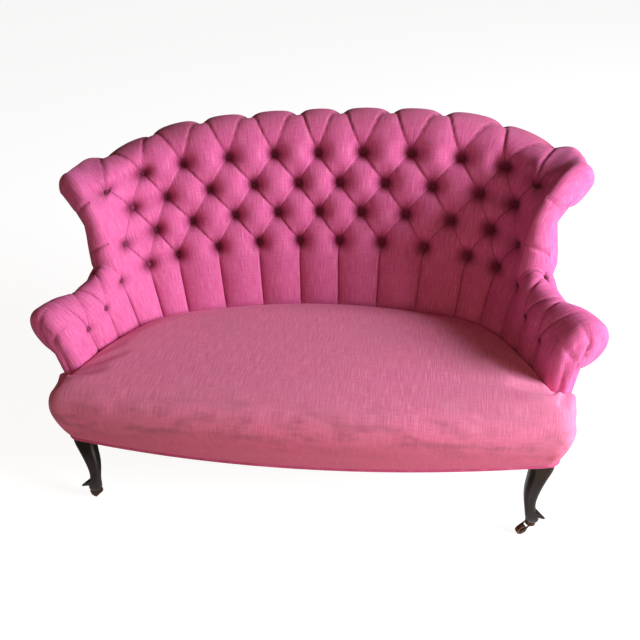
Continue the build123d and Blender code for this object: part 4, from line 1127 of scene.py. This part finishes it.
def build_button(point, normal):
    """Covered button: a domed mould whose cloth is gathered under the rim."""
    bpy.ops.mesh.primitive_uv_sphere_add(segments=24, ring_count=12, radius=BUTTON_RADIUS)
    button = bpy.context.object
    for vertex in button.data.vertices:
        x, y, z = vertex.co
        rim = 1 - abs(z) / BUTTON_RADIUS
        gather = 1 - GATHER_DEPTH * rim * (1 + math.cos(GATHERS * math.atan2(y, x)))
        vertex.co = (x * gather, y * gather, z * (BUTTON_RISE if z > 0 else BUTTON_SINK))
    turn = Vector((0, 0, 1)).rotation_difference(Vector(normal)).to_matrix().to_4x4()
    button.data.transform(Matrix.Translation(Vector(point + normal * BUTTON_SEAT)) @ turn)
    return button


def build_buttons(name, node, places):
    made = [build_button(*cover_place(station, row)) for station, row in places]
    piece = join_pieces(name, made)
    bpy.ops.object.shade_smooth()
    # The buttons' darker linen is painted shade
    dress(piece, "button_cover", SHADED_BUTTON_LINEN, node)


def button_places(first, lasts):
    """Stations and rows of the buttons from a first station on, every other station on each row."""
    return [
        (station, row) for row, last in enumerate(lasts, 1) for station in range(first, last + 1)
        if (station + row) % 2 == 0 and abs(station) <= last
    ]


build_buttons("back_covered_buttons", "back_buttons", button_places(-WING_STATION, BACK_LAST_BUTTONS))
for flip, word in SIDES:
    places = [(flip * station, row) for station, row in button_places(WING_STATION + 1, ARM_LAST_BUTTONS)]
    build_buttons(f"{word}_arm_covered_buttons", f"{word}_arm_buttons", places)

# Seat

BOW_MIDDLE_Y = -0.431
BOW_CORNER = np.array((0.666, -0.376))
SIDE_FRONT = np.array((0.698, -0.339))
CORNER_SHARE = 0.4
SEAT_DEPTH = 0.52
SEAT_END = ARM_FRONT + 0.0015
SEAT_COLUMNS = 90
SEAT_LINE_STEPS = 120
BOW_STEPS = 60
CORNER_STEPS = 16
TOP_STEPS = 34
DROP_STEPS = 18
# Front of the seat from its top edge down: height, reach beyond the apron
FRONT_PROFILE = (
    (0.407, -0.030), (0.398, -0.004), (0.388, 0.0156), (0.364, 0.0298), (0.334, 0.034),
    (0.300, 0.0284), (0.262, 0.017), (0.232, 0.003), (0.216, 0.0),
)
# Top of the seat from the back, and just behind its front edge: distance in, height
TOP_PROFILE = ((0.000, 0.352), (0.006, 0.378), (0.020, 0.394), (0.055, 0.407), (0.120, 0.418), (0.240, 0.426))
FORE_PROFILE = ((0.15, 0.4225), (0.075, 0.416))
FORE_FROM = 0.4
# Highest point beside the arm fronts and in the middle, and the shares of the depth between which it rises
SEAT_CROWN_Z = (0.380, 0.4275)
SEAT_CROWN_SPAN = (0.08, 0.7)
# Underside: tacked edge, middle and back
TACK_MARGIN = 0.03
UNDER_Z = (0.2165, 0.330, 0.335)
# The front swells less round the corners, and the seat goes in under the arms' rounded fronts
SIDE_SWELL = 0.5
SIDE_SWELL_SPAN = (0.84, 0.97)
UNDER_ARM = 0.06


def arc(first, through, last, count):
    """Points of the arc through three points in plan, without the last."""
    a, b, c = (complex(*point) for point in (first, through, last))
    skew = (c - a) / (b - a)
    centre = a + (b - a) * (skew - abs(skew) ** 2) / (2j * skew.imag)
    sweep = np.angle((c - centre) / (a - centre))
    points = centre + (a - centre) * np.exp(1j * sweep * np.linspace(0, 1, count, endpoint=False))
    return np.column_stack((points.real, points.imag))


def bow_point(share):
    """Point of the bow at a share of its half width."""
    rise = BOW_CORNER[1] - BOW_MIDDLE_Y
    radius = (BOW_CORNER[0] ** 2 + rise**2) / (2 * rise)
    x = share * BOW_CORNER[0]
    return x, BOW_MIDDLE_Y + radius - math.sqrt(radius**2 - x**2)


def front_edge(count):
    """Right half of the apron's line in plan, from the middle of the bow to the arm front."""
    bow = arc((0, BOW_MIDDLE_Y), bow_point(0.5), BOW_CORNER, BOW_STEPS)
    elbow = mix((BOW_CORNER + SIDE_FRONT) / 2, np.array((SIDE_FRONT[0], BOW_CORNER[1])), CORNER_SHARE)
    corner = arc(BOW_CORNER, elbow, SIDE_FRONT, CORNER_STEPS)
    return even(np.vstack((bow, corner, SIDE_FRONT, plan(SEAT_END, BASE_OUT_ARM))), count)


def seat_column(back, edge, outward, swell):
    """One strip of the seat: over the top from the back, down the front, and back underneath."""
    span = np.linalg.norm(edge - back)
    ahead = (edge - back) / max(span, 1e-6)
    squeeze = min(1.0, span / SEAT_DEPTH)
    crown = mix(*SEAT_CROWN_Z, smooth(*SEAT_CROWN_SPAN, squeeze))
    lip_z, lip_out = FRONT_PROFILE[0]
    top = [(d * squeeze, z) for d, z in TOP_PROFILE] + [(span + lip_out, lip_z)]
    if squeeze > FORE_FROM:
        top += [(span - d * squeeze, z) for d, z in FORE_PROFILE]
    top = np.array(top)
    top[:, 1] = np.minimum(top[:, 1], crown)
    top = even(top[np.argsort(top[:, 0])], TOP_STEPS)
    drop = even([(out * (swell if out > 0 else 1), min(z, crown)) for z, out in FRONT_PROFILE], DROP_STEPS)
    points = [(*(back + ahead * d), z) for d, z in top]
    points[-1] = (*(edge + outward * drop[0][0]), drop[0][1])
    points += [(*(edge + outward * out), z) for out, z in drop[1:]]
    cloth = [(p[0], p[1]) for p in points[:TOP_STEPS]]
    cloth += [tuple(edge + outward * lip_out + outward * fallen) for fallen in run_along(drop)[1:]]
    inner = mix(edge, back, min(0.5, TACK_MARGIN / max(span, TACK_MARGIN)))
    for place, z in zip((inner, mix(edge, back, 0.5), back), UNDER_Z):
        points.append((*place, z))
        cloth.append(cloth[-1])
    return points, cloth


STUFFING = {
    "quality": 6, "mass": 0.3, "tension_stiffness": 25, "compression_stiffness": 25, "bending_stiffness": 4,
    "vertex_group_mass": "tacked", "use_pressure": True, "uniform_pressure_force": 4.0,
}
STUFFING_FRAMES = 20
STUFFING_CAP = 0.006
TACKED_BELOW = 0.245
TACKED_BEHIND = 0.012
SEAT_BACK_LINE = np.array([plan(run) for run in np.linspace(0, ARM_FRONT, SEAT_LINE_STEPS)])


def seat_tacked(point):
    """The seat's cover is tacked under the apron and pulled down behind along the back and arms."""
    behind = min(np.linalg.norm(SEAT_BACK_LINE - (abs(point[0]), point[1]), axis=1))
    return point[2] < TACKED_BELOW or behind < TACKED_BEHIND


def stuff(piece, tacked):
    """Swells a cover on its stuffing: cloth under pressure, held where it is tacked, its movement capped."""
    start = places_of(piece)
    held = piece.vertex_groups.new(name="tacked")
    held.add([i for i, point in enumerate(start) if tacked(point)], 1.0, "REPLACE")
    activate(piece)
    cloth = piece.modifiers.new("Stuffing", "CLOTH")
    set_all(cloth.settings, STUFFING)
    cloth.settings.effector_weights.gravity = 0
    cloth.collision_settings.use_collision = False
    scene = bpy.context.scene
    for number in range(1, STUFFING_FRAMES + 1):
        scene.frame_set(number)
    bpy.ops.object.modifier_apply(modifier=cloth.name)
    scene.frame_set(1)
    move = places_of(piece) - start
    reach = np.linalg.norm(move, axis=1)[:, None] + 1e-9
    piece.data.vertices.foreach_set("co", (start + move * np.minimum(1, STUFFING_CAP / reach)).ravel())
    piece.vertex_groups.clear()
    piece.data.update()


def build_seat():
    edge = front_edge(SEAT_COLUMNS)
    runs = np.linspace(0, SEAT_END, SEAT_COLUMNS)
    back = [plan(run, ARM_ROUND * smooth(ARM_FRONT - UNDER_ARM, ARM_FRONT, run)) for run in runs]
    outward = -beside(edge)[:, :2]
    outward[0] = (0, -1)
    swell = mix(1, SIDE_SWELL, smooth(*SIDE_SWELL_SPAN, np.linspace(0, 1, SEAT_COLUMNS)))
    columns, cloths = zip(*[seat_column(*strip) for strip in zip(back, edge, outward, swell)])
    right, cloth = np.array(columns), np.array(cloths)
    right = np.concatenate((right, right[:, :1]), axis=1)
    cloth = np.concatenate((cloth, cloth[:, -1:]), axis=1)
    piece = grid_piece("seat", mirrored(right), mirrored(cloth))
    weld(piece)
    apply_modifier(piece, "SMOOTH", factor=0.5, iterations=2)
    stuff(piece, seat_tacked)
    apply_modifier(piece, "SUBSURF", levels=1, render_levels=1)
    close_ends(piece)
    dress(piece, "cover", SEAT_LINEN, "seat_cushion")


build_seat()

SEAT_FOOT_Z = np.full(SEAT_LINE_STEPS, BASE_Z + SEAT_PIPING_LIFT)
SEAT_FOOT = mirrored(np.column_stack((front_edge(SEAT_LINE_STEPS), SEAT_FOOT_Z)))
build_piping("seat_piping", "seat_trim", SEAT_FOOT - SEAT_PIPING_OUT * PIPING_RADIUS * beside(SEAT_FOOT))

# Bottoming cloth

DUST_COVER_LAST = 15
DUST_COVER_OUT = 0.038
DUST_COVER_HALF = 0.600
DUST_COVER_BACK = 0.0323
DUST_COVER_Z = 0.2172
DUST_COVER_SAG = 0.004
DUST_COVER_THICKNESS = 0.0008
DUST_COLUMNS = 41
DUST_ROWS = 21


def build_dust_cover():
    """Black cloth tacked under the seat frame, with a slight sag."""
    runs = np.linspace(0, along_line(DUST_COVER_LAST), DUST_COLUMNS)
    back = np.array([plan(run, DUST_COVER_OUT) for run in runs])
    front = np.array([bow_point(share * DUST_COVER_HALF / BOW_CORNER[0]) for share in runs / runs[-1]])
    front[:, 1] += DUST_COVER_BACK
    share = np.linspace(0, 1, DUST_ROWS)[None, :, None]
    flat = mix(back[:, None], front[:, None], share)
    sag = np.sin(np.pi * share[:, :, 0]) * np.cos(np.pi / 2 * (runs / runs[-1])[:, None] ** 2)
    points = mirrored(np.concatenate((flat, DUST_COVER_Z - DUST_COVER_SAG * sag[:, :, None]), axis=2))
    piece = grid_piece("bottoming_cloth", points, points[:, :, :2])
    area = thicken(piece, DUST_COVER_THICKNESS)
    dress(piece, "dust_cloth", DUST_CLOTH, "dust_cover")


build_dust_cover()

# Camera at the photograph's place

CAMERA_PLACE = (0.3265, -1.487, 1.4937)
CAMERA_YAW, CAMERA_PITCH, CAMERA_ROLL = (math.radians(a) for a in (-11.53, 35.71, -5.53))
LENS, SENSOR_WIDTH = 33.93, 36


def build_camera():
    bpy.ops.object.camera_add()
    camera = bpy.context.object
    camera.data.lens, camera.data.sensor_width = LENS, SENSOR_WIDTH
    aim = Matrix.Rotation(-CAMERA_YAW, 4, "Z") @ Matrix.Rotation(math.pi / 2 - CAMERA_PITCH, 4, "X")
    camera.matrix_world = Matrix.Translation(CAMERA_PLACE) @ aim @ Matrix.Rotation(CAMERA_ROLL, 4, "Z")
    bpy.context.scene.camera = camera


build_camera()

# Studio

AIR_TINT, AIR_LIGHT = (1.0, 0.74, 0.42, 1), 0.04
WHITE = (1, 1, 1, 1)
FLOOR_TONE = (0.9, 0.9, 0.9, 1)
FLOOR_SIZE = 30
# How much of the floor that the camera sees is lit from within, and how strongly
FLOOR_GLOW_SHARE, FLOOR_GLOW = 0.7, 1.31
LAMP_AIM = (0, 0, 0.55)
# Place, size, watts and tint: a cool key at the right, and two warm fills in front
LAMPS = (
    ((4.65, -0.93, 2.18), 1.9, 450, (0.95, 0.92, 0.98)),
    ((-0.6, -2.6, 2.6), 2.0, 21, (1.0, 0.6, 0.42)),
    ((1.6, -2.6, 0.9), 1.0, 11, (1.0, 0.6, 0.4)),
)


def show_camera(tree, share, shader, seen, output):
    """Puts a second shader in place of the first by a share, for what the camera sees directly."""
    rays = add(tree, "ShaderNodeLightPath").outputs["Is Camera Ray"]
    both = add(tree, "ShaderNodeMixShader", {0: times(tree, rays, share), 1: shader, 2: seen})
    tree.links.new(both.outputs[0], tree.nodes[output].inputs[0])


def build_studio():
    scene = bpy.context.scene
    scene.view_settings.view_transform = "Standard"
    world = bpy.data.worlds.new("studio")
    scene.world = world
    world.use_nodes = True
    tree = world.node_tree
    air = tree.nodes["Background"]
    air.inputs["Color"].default_value, air.inputs["Strength"].default_value = AIR_TINT, AIR_LIGHT
    white = add(tree, "ShaderNodeBackground", {"Color": WHITE, "Strength": 1.0})
    show_camera(tree, 1.0, air.outputs[0], white.outputs[0], "World Output")

    bpy.ops.object.select_all(action="DESELECT")
    bpy.ops.mesh.primitive_plane_add(size=FLOOR_SIZE)
    floor = bpy.context.object
    floor.name = "floor"
    finish, tree, surface = start_finish("pale_floor", Roughness=1.0, Base_Color=FLOOR_TONE)
    glow = add(tree, "ShaderNodeEmission", {"Color": WHITE, "Strength": FLOOR_GLOW})
    show_camera(tree, FLOOR_GLOW_SHARE, surface.outputs[0], glow.outputs[0], "Material Output")
    floor.data.materials.append(finish)

    for place, size, power, tint in LAMPS:
        bpy.ops.object.light_add(type="AREA", location=place)
        lamp = bpy.context.object
        lamp.data.size, lamp.data.energy, lamp.data.color = size, power, tint
        lamp.rotation_euler = (Vector(LAMP_AIM) - Vector(place)).to_track_quat("-Z", "Y").to_euler()


build_studio()

# Finishes of the solids that stay

NODE_FINISHES = {
    "ebonised": EBONISED, "beech": BEECH, "jute": JUTE, "hessian": HESSIAN, "dust_cloth": DUST_CLOTH,
    "spring_steel": SPRING_WIRE, "bronze": BRONZE, "steel": PLAIN_STEEL, "wheel": WHEEL_WOOD,
    "cover": PANEL_LINEN, "button_cover": PANEL_LINEN, "trim": PANEL_LINEN,
}
for part in frame["record"]["subparts"]:
    solid = frame["nodes"][part["node"]]
    solid.data.materials.clear()
    solid.data.materials.append(NODE_FINISHES[part["material_slot"]])
